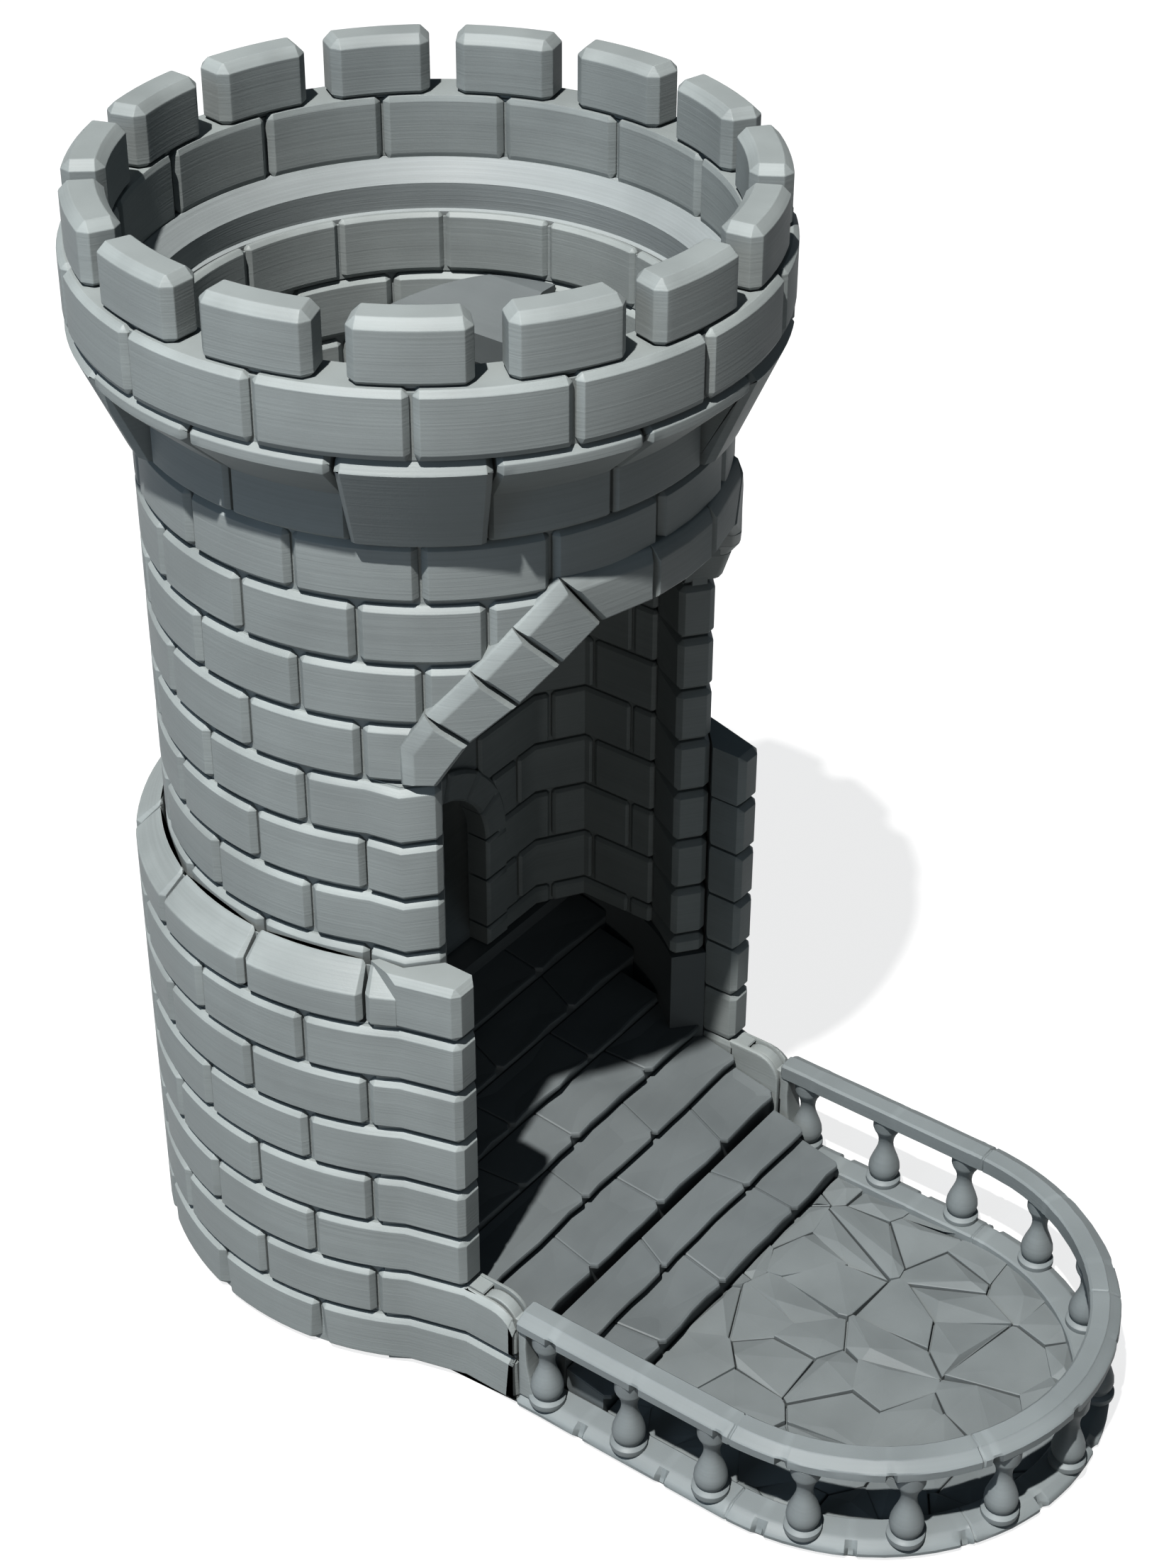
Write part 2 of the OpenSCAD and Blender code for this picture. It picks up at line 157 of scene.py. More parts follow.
class Shape:
    """Collects closed blocks in millimetres, with a value of wear and painted edge highlight for each
    vertex.
    """

    def __init__(self):
        self.verts = []
        self.faces = []
        self.wear_and_highlight = []

    def add(self, verts, faces, wear_and_highlight):
        """Adds one closed block, joining its coincident vertices and dropping empty faces."""
        index, keys = [], {}
        for v, w in zip(verts, wear_and_highlight):
            key = (round(v[0], 3), round(v[1], 3), round(v[2], 3))
            if key not in keys:
                keys[key] = len(self.verts)
                self.verts.append(v)
                self.wear_and_highlight.append(w)
            index.append(keys[key])
        for face in faces:
            ring = []
            for k in face:
                if index[k] not in ring:
                    ring.append(index[k])
            if len(ring) > 2:
                self.faces.append(ring)

    def obj(self, name, material, body, replaced=(), slot="stone_grey_print", smooth=True):
        """Makes the object, in metres, riding on a CAD body."""
        mesh = bpy.data.meshes.new(name)
        mesh.from_pydata([(x * MM, y * MM, z * MM) for x, y, z in self.verts], [], self.faces)
        # per-vertex wear and painted edge highlight, which the materials turn into paler colour
        mesh.attributes.new("wear_and_highlight", "FLOAT", "POINT").data.foreach_set("value", self.wear_and_highlight)
        mesh.polygons.foreach_set("use_smooth", [smooth] * len(mesh.polygons))
        mesh.materials.append(material)
        mesh.validate()
        outward = bmesh.new()
        outward.from_mesh(mesh)
        bmesh.ops.recalc_face_normals(outward, faces=outward.faces)
        outward.to_mesh(mesh)
        outward.free()
        piece = bpy.data.objects.new(name, mesh)
        bpy.context.scene.collection.objects.link(piece)
        if smooth:
            mesh.set_sharp_from_angle(angle=SHARP_ANGLE)
            normals = piece.modifiers.new("face_weighted_normals", "WEIGHTED_NORMAL")
            normals.keep_sharp = True
        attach(piece, body)
        if replaced:
            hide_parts(*replaced)
        return piece


def at_height(x, y, t):
    """Outline in plan, raised along Z."""
    return (x, y, t)


def across_x(y, z, t):
    """Outline in y and z, drawn out along X."""
    return (t, y, z)


def along_y(x, z, t):
    """Outline in x and z, drawn out along -Y, so that the outline stays counterclockwise."""
    return (x, -t, z)


def polar(r, angle):
    """Point in plan at a radius and an angle from the front, in degrees."""
    a = math.radians(angle)
    return (r * math.sin(a), -r * math.cos(a))


def round_axis(r, z, t):
    """Outline in r and z, swept round the axis by t degrees."""
    return (*polar(r, t), z)


def out_from_axis(u, z, t):
    """Outline in degrees and z, drawn out along the radius."""
    return (*polar(t, u), z)


def inset_outline(points, insets, corners, length):
    """Moves each edge of a counterclockwise outline inwards by its own inset, and replaces each
    marked corner by a softened chamfer of the given length. Every ring has the same count."""
    n = len(points)
    dirs = []
    for k in range(n):
        ax, ay = points[k]
        bx, by = points[(k + 1) % n]
        d = math.hypot(bx - ax, by - ay) or 1e-9
        dirs.append(((bx - ax) / d, (by - ay) / d))
    ring = []
    for k in range(n):
        x, y = points[k]
        (ax, ay), (bx, by) = dirs[k - 1], dirs[k]
        da, db = insets[k - 1], insets[k]
        cross = ax * by - ay * bx
        if abs(cross) < 0.02:
            d = (da + db) / 2
            mx, my = x - ay * d, y + ax * d
        else:
            # the two moved edges meet at x + m, with m measured along their directions
            mx = x + (bx * da - ax * db) / cross
            my = y + (by * da - ay * db) / cross
        if corners[k]:
            for back, on in SOFT:
                ring.append((mx - ax * length * back + bx * length * on,
                             my - ay * length * back + by * length * on, edge_wear_and_highlight(on)))
        else:
            ring.append((mx, my, 0.0))
    return ring


def tube_faces(n, count):
    """Faces of a tube through count rings of n points, with a cap over the first ring only."""
    faces = [list(range(n - 1, -1, -1))]
    for r in range(count - 1):
        for k in range(n):
            a, b = r * n + k, r * n + (k + 1) % n
            faces.append([a, b, b + n, a + n])
    return faces


def block(shape, outline, rings, place=at_height, warp=None, peak=None):
    """Adds a closed solid: the outline as (x, y, edge class, corner) drawn through rings of
    (height, {edge class: inset}, corner length, wear and painted edge highlight). A peak, given as two
    shares of the outline's box and a height, turns the top into low facets."""
    points = [(p[0], p[1]) for p in outline]
    classes = [p[2] for p in outline]
    corners = [p[3] for p in outline]
    verts, wear_and_highlight = [], []
    for t, insets, length, worn_and_highlit in rings:
        ring = inset_outline(points, [insets.get(c, 0.0) for c in classes], corners, length)
        for x, y, w in ring:
            p = place(x, y, t)
            verts.append(warp(p) if warp else p)
            wear_and_highlight.append(max(w, worn_and_highlit))
    n = len(verts) // len(rings)
    faces = tube_faces(n, len(rings))
    last = (len(rings) - 1) * n
    if peak:
        xs, ys = [v[0] for v in verts[last:]], [v[1] for v in verts[last:]]
        x = min(xs) + (max(xs) - min(xs)) * peak[0]
        y = min(ys) + (max(ys) - min(ys)) * peak[1]
        z = sum(v[2] for v in verts[last:]) / n + peak[2]
        verts.append((x, y, z))
        wear_and_highlight.append(0.15)
        faces += [[last + k, last + (k + 1) % n, last + n] for k in range(n)]
    else:
        faces.append([last + k for k in range(n)])
    shape.add(verts, faces, wear_and_highlight)


def plain_block(shape, outline, t0, t1, **how):
    """Block with sharp edges."""
    block(shape, outline, [(t0, {}, 0, 0), (t1, {}, 0, 0)], **how)


def chamfered(t0, t1, c, weights=EVEN, start=True, middle=()):
    """Rings of a block with a softened chamfer c at its end, and at its start if that is wanted;
    weights scale the inset of each edge class."""

    def soft(t, inwards):
        return [(t + inwards * c * along, {k: c * out * w for k, w in weights.items()}, c * (1 - out),
                 edge_wear_and_highlight(out)) for out, along in SOFT]

    first = soft(t0, 1) if start else [(t0, {}, c, 0.0)]
    return first + [(t, {}, c, 0.0) for t in middle] + soft(t1, -1)[::-1]


def arc(r, a0, a1, kind, step=3.0):
    """Points of an arc in plan, with both ends; the edges after them have the given class."""
    n = max(1, math.ceil(abs(a1 - a0) / step - 0.01))
    return [polar(r, a0 + (a1 - a0) * k / n) + (kind, False) for k in range(n + 1)]


def corner(point):
    """The same outline point, marked as a corner."""
    return point[:3] + (True,)


def with_class(point, kind):
    """The same outline point, with the edge after it in another class."""
    return point[:2] + (kind,) + point[3:]


def last_corner(point):
    """The same outline point, marked as the corner before a joint."""
    return with_class(corner(point), "e")


def mirrored(outline):
    """The outline on the other side of the plane x = 0, still counterclockwise."""
    n = len(outline)
    return [(-outline[k][0], outline[k][1], outline[k - 1][2], outline[k][3])
            for k in range(n - 1, -1, -1)]


def on_side(outline, side):
    """An outline drawn for the +X side, on the side asked for."""
    return outline if side > 0 else mirrored(outline)


def outlined(points, kinds="o", corners=()):
    """Outline from its points: each edge takes its class from kinds, whose last letter repeats,
    and the points numbered in corners are chamfered."""
    kinds = kinds.ljust(len(points), kinds[-1])
    return [(a, b, kinds[k], k in corners) for k, (a, b) in enumerate(points)]


def arc_stone(r_in, r_out, a0, a1, gap=GAP):
    """Outline in plan of one stone of a round wall."""
    half = math.degrees(gap / 2 / r_out)
    outer = arc(r_out, a0 + half, a1 - half, "o")
    inner = arc(r_in, a1 - half, a0 + half, "i")
    outer[0], outer[-1] = corner(outer[0]), last_corner(outer[-1])
    inner[0], inner[-1] = corner(inner[0]), last_corner(inner[-1])
    return outer + inner


# ---- materials


class Nodes:
    """Short names for building a node tree."""

    def __init__(self, material):
        material.use_nodes = True
        self.tree = material.node_tree
        self.tree.nodes.clear()

    def new(self, kind, sockets=None, **values):
        """Adds a node with its properties; sockets gives inputs a value or an output to link."""
        node = self.tree.nodes.new(kind)
        for key, value in values.items():
            setattr(node, key, value)
        for key, value in (sockets or {}).items():
            self.feed(node.inputs[key], value)
        return node

    def feed(self, socket, value):
        """Links an output to a socket, or sets its value."""
        if isinstance(value, bpy.types.NodeSocket):
            self.tree.links.new(value, socket)
        else:
            socket.default_value = value

    def noise(self, scale, stretch=(1, 1, 1), detail=3.0):
        coord = self.new("ShaderNodeTexCoord").outputs["Object"]
        mapping = self.new("ShaderNodeMapping", {"Vector": coord, "Scale": stretch})
        return self.new("ShaderNodeTexNoise", {"Vector": mapping.outputs["Vector"], "Scale": scale,
                                               "Detail": detail}).outputs["Fac"]

    def remap(self, value, from_low, from_high, to_low, to_high):
        return self.new("ShaderNodeMapRange", {
            "Value": value, "From Min": from_low, "From Max": from_high, "To Min": to_low,
            "To Max": to_high}).outputs["Result"]

    def math(self, operation, a, b):
        node = self.new("ShaderNodeMath", operation=operation)
        self.feed(node.inputs[0], a)
        self.feed(node.inputs[1], b)
        return node.outputs["Value"]

    def finish(self, kind, surface):
        """Links a surface to the tree's output."""
        self.new(kind, {"Surface": surface})


def printed_plastic(name, tone, lines=1.0, roughness=0.56):
    """Grey printed plastic: stacked layer lines, blotches, edges painted paler as wear and as a painted
    highlight.
    """
    material = bpy.data.materials.new(name)
    n = Nodes(material)
    layers = n.noise(900.0, (0.03, 0.03, 3.2), detail=2.0)  # streaks a third of a mm high
    bands = n.noise(120.0, (0.08, 0.08, 2.0), detail=2.0)  # slower drift between layers
    blotch = n.noise(70.0, detail=4.0)
    grit = n.noise(2600.0, detail=1.0)
    wear_and_highlight = n.new("ShaderNodeAttribute", attribute_name="wear_and_highlight").outputs["Fac"]

    shade = n.math("ADD", n.remap(layers, 0.3, 0.7, -0.035 * lines, 0.035 * lines),
                   n.remap(bands, 0.3, 0.7, -0.03 * lines, 0.03 * lines))
    shade = n.math("ADD", shade, n.remap(blotch, 0.3, 0.7, -0.05, 0.05))
    # paler along the chamfers: a painted highlight on the edges, and some wear
    shade = n.math("ADD", shade, n.math("MULTIPLY", wear_and_highlight, n.remap(blotch, 0.35, 0.6, 0.0, 0.12)))
    colour = n.new("ShaderNodeMixRGB", {"Fac": 1.0, "Color1": (*tone, 1.0),
                                        "Color2": n.math("ADD", shade, 1.0)}, blend_type="MULTIPLY")

    height = n.math("ADD", n.math("MULTIPLY", layers, 0.7 * lines), n.math("MULTIPLY", grit, 0.25))
    bump = n.new("ShaderNodeBump", {"Strength": 0.35, "Distance": 0.00012, "Height": height})

    rough = n.remap(blotch, 0.3, 0.7, roughness - 0.06, roughness + 0.08)
    shader = n.new("ShaderNodeBsdfPrincipled", {
        "Base Color": colour.outputs["Color"], "Roughness": rough, "Normal": bump.outputs["Normal"]})
    shader.inputs["Specular IOR Level"].default_value = 0.32
    n.finish("ShaderNodeOutputMaterial", shader.outputs["BSDF"])
    return material


STONE = printed_plastic("stone_print", (0.205, 0.222, 0.220))
# darker copies of the same grey plastic for the stairs, flagstones and railing: painted shade, standing in
# for the darker look of the lower parts under the light
SLAB_WITH_PAINTED_SHADE = printed_plastic("slab_print_painted_shade", (0.111, 0.123, 0.126), lines=0.4)
FLAG_WITH_PAINTED_SHADE = printed_plastic("flagstone_print_painted_shade", (0.140, 0.154, 0.156), lines=0.4)
RAILING_WITH_PAINTED_SHADE = printed_plastic("railing_print_painted_shade", (0.166, 0.183, 0.186), lines=0.7)
SMOOTH = printed_plastic("smooth_print", (0.220, 0.238, 0.240), lines=1.4, roughness=0.60)

# ---- round walls


def joints(kind):
    """Angles of the vertical joints of a course, kind A or B, from one turn back to one turn on."""
    start = -6.0 if kind == "A" else 6.0
    return [start + STONE_ANGLE * k for k in range(-STONES, STONES + 1)]


def first_joint(kind, side, beyond):
    """Angle from the front of the first joint past an angle, on one side of the tower."""
    return min(side * a for a in joints(kind) if side * a > beyond)


def spans(kind, a_from, a_to, least=4.0):
    """Pairs of angles between joints, from one end of a wall round the back to the other."""
    edges = [a_from] + [a for a in joints(kind) if a_from + least < a < a_to - least] + [a_to]
    return zip(edges[:-1], edges[1:])


def full_turn(kind):
    """Pairs of angles between joints, all the way round."""
    return [(a, a + STONE_ANGLE) for a in joints(kind)[STONES:2 * STONES]]


def lay(shape, r_in, r_out, turns, rings):
    """Lays the stones of a course, one for each pair of angles."""
    for a0, a1 in turns:
        block(shape, arc_stone(r_in, r_out, a0, a1), rings)


def core_ring(shape, r_in, r_out, a_from, a_to, z0, z1):
    """Plain filling behind the joints of a course, so that no light comes through."""
    middle = (a_from + a_to) / 2
    for a0, a1 in ((a_from, middle), (middle, a_to)):
        plain_block(shape, arc(r_out, a0, a1, "o") + arc(r_in, a1, a0, "i"), z0, z1)


def tower_courses():
    """Bottom, top and joint kind of each course of the tower, from the top down."""
    z, k = TOWER_TOP, 0
    while z > DECK_Z + 0.1:
        bottom = max(z - COURSE, DECK_Z)
        yield bottom, z, "AB"[k % 2]
        z, k = z - COURSE, k + 1


QUOIN_END = 65.6
QUOIN_CORE = outlined([(31.8, -23.6), (34.7, -25.9), (38.2, -23.2), (39.2, -17.4), (36.6, -15.6)])
GABLE_OPEN = 56.5  # half angle of the opening at the gable's foot
GABLE_CLOSE = 35.88  # and how much of it the gable's slope takes away


def quoin_outline(a_joint):
    """Outline in plan of a corner stone on the +X side, from the opening to a joint."""
    half = math.degrees(GAP / 2 / TOWER_R)
    a_end = max(a_joint - half, QUOIN_END + 0.4)
    outer = arc(TOWER_R, QUOIN_END, a_end, "o")
    inner = arc(TOWER_BORE, a_end, QUOIN_END, "i")
    outer[-1] = last_corner(outer[-1])
    inner[0] = corner(inner[0])
    return outlined([(30.2, -24.3), (34.8, -27.9), (39.4, -23.8)], corners=(0, 1)) + outer + inner


def tower_wall():
    stones, core = Shape(), Shape()
    quoins = {1: Shape(), -1: Shape()}
    core_in, core_out = TOWER_BORE + CORE_BACK, TOWER_R - CORE_FRONT
    for z0, z1, kind in tower_courses():
        bottom = z0 + (GAP / 2 if z0 > DECK_Z else 0)
        rings = chamfered(bottom, z1 - GAP / 2, min(CHAMFER, (z1 - z0) / 4))
        middle = (z0 + z1) / 2
        if z0 > GABLE_TOP - COURSE / 2:
            core_ring(core, core_in, core_out, 0, 360, z0, z1)
            course = full_turn(kind)
        elif middle < GABLE_FOOT:
            core_ring(core, core_in, core_out, OPENING, 360 - OPENING, z0, z1)
            first = {side: first_joint(kind, side, QUOIN_END - 1) for side in (1, -1)}
            for side in (1, -1):
                block(quoins[side], on_side(quoin_outline(first[side]), side), rings)
                plain_block(core, on_side(QUOIN_CORE, side), z0, z1)
            course = spans(kind, first[1], 360 - first[-1])
        else:
            # the end of the course stays behind the sloping stones of the gable
            a_open = GABLE_OPEN - GABLE_CLOSE * (middle - GABLE_FOOT) / (GABLE_TOP - GABLE_FOOT)
            core_ring(core, core_in, core_out, a_open, 360 - a_open, z0, z1)
            course = spans(kind, a_open, 360 - a_open)
        lay(stones, TOWER_BORE, TOWER_R, course, rings)
    stones.obj("tower_stones", STONE, "tower", ["tower_wall"])
    core.obj("tower_core", STONE, "tower")
    quoins[1].obj("quoin_stones_right", STONE, "tower", ["quoins_right"])
    quoins[-1].obj("quoin_stones_left", STONE, "tower", ["quoins_left"])


def tower_spigot():
    stones = Shape()
    rings = chamfered(TOWER_TOP + GAP / 2, SPIGOT_TOP, 0.7)
    lay(stones, TOWER_BORE, SPIGOT_R, full_turn("B"), rings)
    core_ring(stones, TOWER_BORE + 0.7, SPIGOT_R - 0.7, 0, 360, TOWER_TOP, SPIGOT_TOP - 0.8)
    stones.obj("spigot_stones", STONE, "tower", ["tower_spigot"])


# ---- gable over the opening

# corners of the surround's stones beside the opening and beside the wall, in degrees and z
GABLE_IN = [(52.0, 112.0), (46.0, 119.1), (37.0, 124.7), (28.9, 130.3), (20.8, 135.4)]
GABLE_OUT = [(58.6, 112.0), (58.6, 118.6), (53.9, 124.1), (45.5, 131.0), (37.7, 137.4), (28.9, 144.0)]
LINTEL_JOINT = 9.0


def gable_stone(shape, corners, classes, side):
    """One stone of the surround. Its edges face the wall (w), the opening (i) or a joint (e)."""
    # degrees on the stone's face are turned into millimetres while it is inset
    scale = math.radians(SURROUND_R)
    flat = [(a * scale, z, kind, soft)
            for a, z, kind, soft in on_side(outlined(corners, classes), side)]
    joint, depth = 0.12, 1.5
    rings = [(r, {"w": w, "i": i, "e": e}, 0.0, worn_and_highlit) for r, w, i, e, worn_and_highlit in (
        (TOWER_BORE, 0, 0, joint, 0), (SURROUND_R - depth, 0, 0, joint, 0.3),
        (SURROUND_R - depth * 0.6, 0.35, 0.1, 0.2, 1.0), (SURROUND_R - 0.15, 1.9, 0.6, 0.6, 1.0),
        (SURROUND_R, 2.3, 0.9, 0.85, 0.3))]
    block(shape, flat, rings, lambda u, z, t: out_from_axis(u / scale, z, t))


def gable():
    for side, name in SIDES:
        shape = Shape()
        gable_stone(shape, [GABLE_IN[0], *GABLE_OUT[:3], GABLE_IN[1]], "ewwei", side)
        for k in range(1, 4):
            gable_stone(shape, [GABLE_IN[k], *GABLE_OUT[k + 1:k + 3], GABLE_IN[k + 1]], "ewei", side)
        shape.obj(f"gable_stones_{name}", STONE, "tower", [f"gable_{name}"])
    lintel = Shape()
    under, over = GABLE_IN[-1][1], GABLE_OUT[-1][1]
    for side in (1, -1):
        gable_stone(lintel, [(LINTEL_JOINT, under), GABLE_IN[-1], GABLE_OUT[-1], (LINTEL_JOINT, over)],
                    "iewe", side)
    across = (-LINTEL_JOINT, 0, LINTEL_JOINT)
    gable_stone(lintel, [(a, under) for a in across] + [(a, over) for a in across[::-1]], "iiewwe", 1)
    lintel.obj("lintel_stones", STONE, "tower", ["lintel"])


# ---- bailey wall of the base


def jamb_outline(a_joint, cheek):
    """Outline in plan of the last stone before the opening on the +X side; with cheek, its
    outer skin runs on to the front."""
    half = math.degrees(GAP / 2 / BAILEY_R)
    outer = arc(BAILEY_R, JAMB_ANGLE, a_joint - half, "o")
    inner = arc(BAILEY_IN, a_joint - half, 66.3, "i")
    outer[-1] = last_corner(outer[-1])
    inner[0] = corner(inner[0])
    if cheek:
        run = [PIVOT_Y - (PIVOT_Y - CHEEK_Y) * math.cos(math.radians(15 * k)) for k in range(1, 7)]
        front = outlined([(HALL, JAMB_Y), (SLOT_OUT, JAMB_Y)] + [(SLOT_OUT, y) for y in run[::-1]], "i")
        front += [(SLOT_OUT, CHEEK_Y, "o", False), (JAMB, CHEEK_Y, "o", True)]
        front += outlined([(JAMB, y) for y in run] + [(JAMB, JAMB_Y)])
    else:
        front = outlined([(HALL, JAMB_Y), (JAMB, JAMB_Y)], corners=(0, 1))
    return front + outer + inner + outlined(HALL_BACK, "i")


def cheek_warp(p):
    """Lowers the top front corner of a cheek to its rounding about the hinge."""
    x, y, z = p
    if y > PIVOT_Y or z < PIVOT_Z - 2:
        return p
    reach = max(0.0, KNUCKLE ** 2 - (PIVOT_Y - y) ** 2)
    return (x, y, z - (KNUCKLE - math.sqrt(reach)))


def bailey_wall():
    stones, core = Shape(), Shape()
    weights = back_share(0.25)
    for k in range(round(BAILEY_TOP / COURSE)):
        kind = "AB"[k % 2]
        z0, z1 = k * COURSE, (k + 1) * COURSE
        rings = chamfered(z0 + GAP / 2, z1 - GAP / 2, CHAMFER, weights)
        if k == 0:
            rings[:len(SOFT)] = chamfered(z0, z1, 1.6, weights)[:len(SOFT)]
        first = {side: first_joint(kind, side, OPENING) for side in (1, -1)}
        for side in (1, -1):
            block(stones, on_side(jamb_outline(first[side], cheek=k < 2), side), rings,
                  warp=cheek_warp if k == 1 else None)
        lay(stones, BAILEY_IN, BAILEY_R, spans(kind, first[1], 360 - first[-1]), rings)
        core_ring(core, BAILEY_IN + 0.5, BAILEY_R - 1.4, OPENING + 2, 358 - OPENING, z0 + 0.1, z1)
    post = outlined([(36.4, -33.0), (39.0, -33.0), (41.6, -24.5), (43.8, -21.0), (41.6, -18.5),
                     (40.6, -24.6), (36.4, -28.6)])
    for side in (1, -1):
        plain_block(core, on_side(post, side), 0.1, BAILEY_TOP + 1)
    stones.obj("bailey_stones", STONE, "base", ["bailey_wall"])
    core.obj("bailey_core", STONE, "base")


def coping():
    """Top course with its broad outer bevel, and a square block at either end of it."""
    stones = Shape()
    lip = BAILEY_TOP + 6.1
    rings = chamfered(BAILEY_TOP + GAP / 2, lip, CHAMFER, back_share(0.25))[:len(SOFT)]
    rings += [(lip - 0.2, {}, CHAMFER, 0.3), (lip + 0.15, {"o": 0.12, "f": 0.0}, CHAMFER * 0.9, 1.0),
              (COPING_TOP - 0.9, {"o": 3.3, "f": 0.1, "e": 0.15, "i": 0.0}, 0.6, 0.3),
              (COPING_TOP - 0.35, {"o": 3.9, "f": 0.5, "e": 0.5, "i": 0.15}, 0.3, 1.0),
              (COPING_TOP - 0.1, {"o": 4.1, "f": 1.0, "e": 0.9, "i": 0.35}, 0.1, 0.3)]
    flat = chamfered(BAILEY_TOP + GAP / 2, COPING_TOP, 1.15, {"o": 1.0, "f": 0.0})
    end = outlined([(HALL, JAMB_Y), (JAMB, JAMB_Y)], corners=(0, 1)) + outlined(
        [polar(BAILEY_R - 0.05, JAMB_ANGLE), polar(BAILEY_IN + 0.6, 65.5), polar(BAILEY_IN, 64.0)]
        + HALL_BACK, "f")
    first = {side: first_joint("B", side, OPENING) for side in (1, -1)}
    for side in (1, -1):
        last = first[side] - math.degrees(GAP / 2 / BAILEY_R)
        outer = arc(BAILEY_R, JAMB_ANGLE, last, "o", step=2.0)
        outer[-1] = last_corner(outer[-1])
        inner = arc(BAILEY_IN, last, 61.5, "i", step=2.0)
        inner[0], inner[-1] = corner(inner[0]), with_class(inner[-1], "f")
        block(stones, on_side(end, side), flat)
        block(stones, on_side(outer + inner, side), rings)
    lay(stones, BAILEY_IN, BAILEY_R, spans("B", first[1], 360 - first[-1]), rings)
    core_ring(stones, BAILEY_IN + 0.6, BAILEY_R - 4.2, OPENING + 2, 358 - OPENING, BAILEY_TOP,
              COPING_TOP - 1.0)
    stones.obj("coping_stones", STONE, "base", ["bailey_coping"])


# ---- crown


def merlons():
    shape = Shape()
    half_width = 9.5
    r_in, r_out, c, foot = 45.0, 51.4, 1.5, 0.7
    rings = [(PARAPET_TOP + 0.1 + foot * along, {k: foot * out for k in EVEN}, c - foot * out, 0.2)
             for out, along in SOFT] + chamfered(PARAPET_TOP, MERLON_TOP, c)[len(SOFT):]
    for a, _ in full_turn("A"):
        block(shape, arc_stone(r_in, r_out, a - half_width, a + half_width, gap=0), rings)
        under = arc_stone(r_in + 1, r_out - 1, a - half_width + 1.2, a + half_width - 1.2)
        plain_block(shape, under, PARAPET_TOP - 0.4, PARAPET_TOP + 2)
    shape.obj("merlon_stones", STONE, "crown", ["merlons"])


def parapet():
    stones = Shape()
    z0 = COLLAR_TOP + 0.15
    rings = chamfered(z0, PARAPET_TOP, CHAMFER, {"o": 0.5, "e": 0.6, "i": 0.3})
    rings[len(SOFT):] = chamfered(z0, PARAPET_TOP, CHAMFER, back_share(0.3))[len(SOFT):]
    lay(stones, CROWN_IN, CROWN_R, full_turn("A"), rings)
    core_ring(stones, CROWN_IN + CORE_BACK, CROWN_R - CORE_FRONT, 0, 360, COLLAR_TOP - 0.2,
              PARAPET_TOP - 0.6)
    stones.obj("parapet_stones", STONE, "crown", ["parapet_ring"])


def swept_stone(shape, profile, a0, a1, c, r_mean):
    """Stone with a profile in r and z, swept round the axis between two angles. Its rings are
    worked out in millimetres along the arc at the mean radius."""
    per_mm = math.degrees(1 / r_mean)
    t0, t1 = a0 / per_mm + GAP / 2, a1 / per_mm - GAP / 2
    n = max(2, round((t1 - t0) * per_mm / 3))
    middle = [t0 + (t1 - t0) * k / n for k in range(1, n)]
    rings = chamfered(t0, t1, c, {"o": 1.0, "i": 0.2 / c}, middle=middle)
    block(shape, profile, [(t * per_mm, *rest) for t, *rest in rings], round_axis)


def collar():
    """Upright band and cone of the collar, with every third stone a keystone corbel."""
    stones, keys = Shape(), Shape()
    back, back_top = 43.4, 44.9
    band_top = TOWER_TOP + 7.1
    head_r, head_z = 52.3, COLLAR_TOP - 0.05
    band = outlined([(back, TOWER_TOP), (BAND_R, TOWER_TOP), (BAND_R, band_top + 0.3),
                     (back, band_top + 0.3)], "ioi", corners=(1,))
    cone = outlined([(back, band_top), (BAND_R - 0.2, band_top), (head_r - 0.3, head_z - 2.8),
                     (head_r, head_z - 2.4), (head_r, head_z - 1.1), (head_r - 0.1, head_z - 0.9),
                     (head_r - 1.1, head_z), (back_top, head_z)], "ioooooi")
    key = outlined([(back, TOWER_TOP), (BAND_R + 1.1, TOWER_TOP), (head_r + 0.1, head_z - 2.0),
                    (head_r, head_z - 1.8), (head_r - 1.5, head_z), (back_top, head_z - 0.2)],
                   "iooooi", corners=(1,))
    for k, (a0, a1) in enumerate(full_turn("B")):
        if k % 3 == 0:
            swept_stone(keys, key, a0, a1, 1.0, 48.5)
        else:
            swept_stone(stones, band, a0, a1, 0.7, BAND_R)
            swept_stone(stones, cone, a0, a1, 0.8, 49.5)
    core_ring(stones, 42.6, 43.6, 0, 360, TOWER_TOP + 0.1, SPIGOT_TOP + 4.4)
    stones.obj("collar_stones", STONE, "crown", ["crown_collar"])
    keys.obj("keystone_corbels", STONE, "crown", ["keystones"])


def funnel():
    """Smooth lining inside the crown, turned about the axis."""
    shape = Shape()
    profile = [(CROWN_BORE, TOWER_TOP + 0.1), (CROWN_BORE, SPIGOT_TOP - 0.6), (42.3, SPIGOT_TOP - 0.3),
               (41.9, SPIGOT_TOP + 4.1), (44.7, COLLAR_TOP + 0.3), (45.8, COLLAR_TOP + 0.3),
               (45.8, COLLAR_TOP - 1), (43.6, SPIGOT_TOP + 2), (43.4, TOWER_TOP + 0.1)]
    lathe(shape, profile, 180)
    shape.obj("funnel_lining", SMOOTH, "crown", ["crown_funnel"], slot="smooth_grey_print")


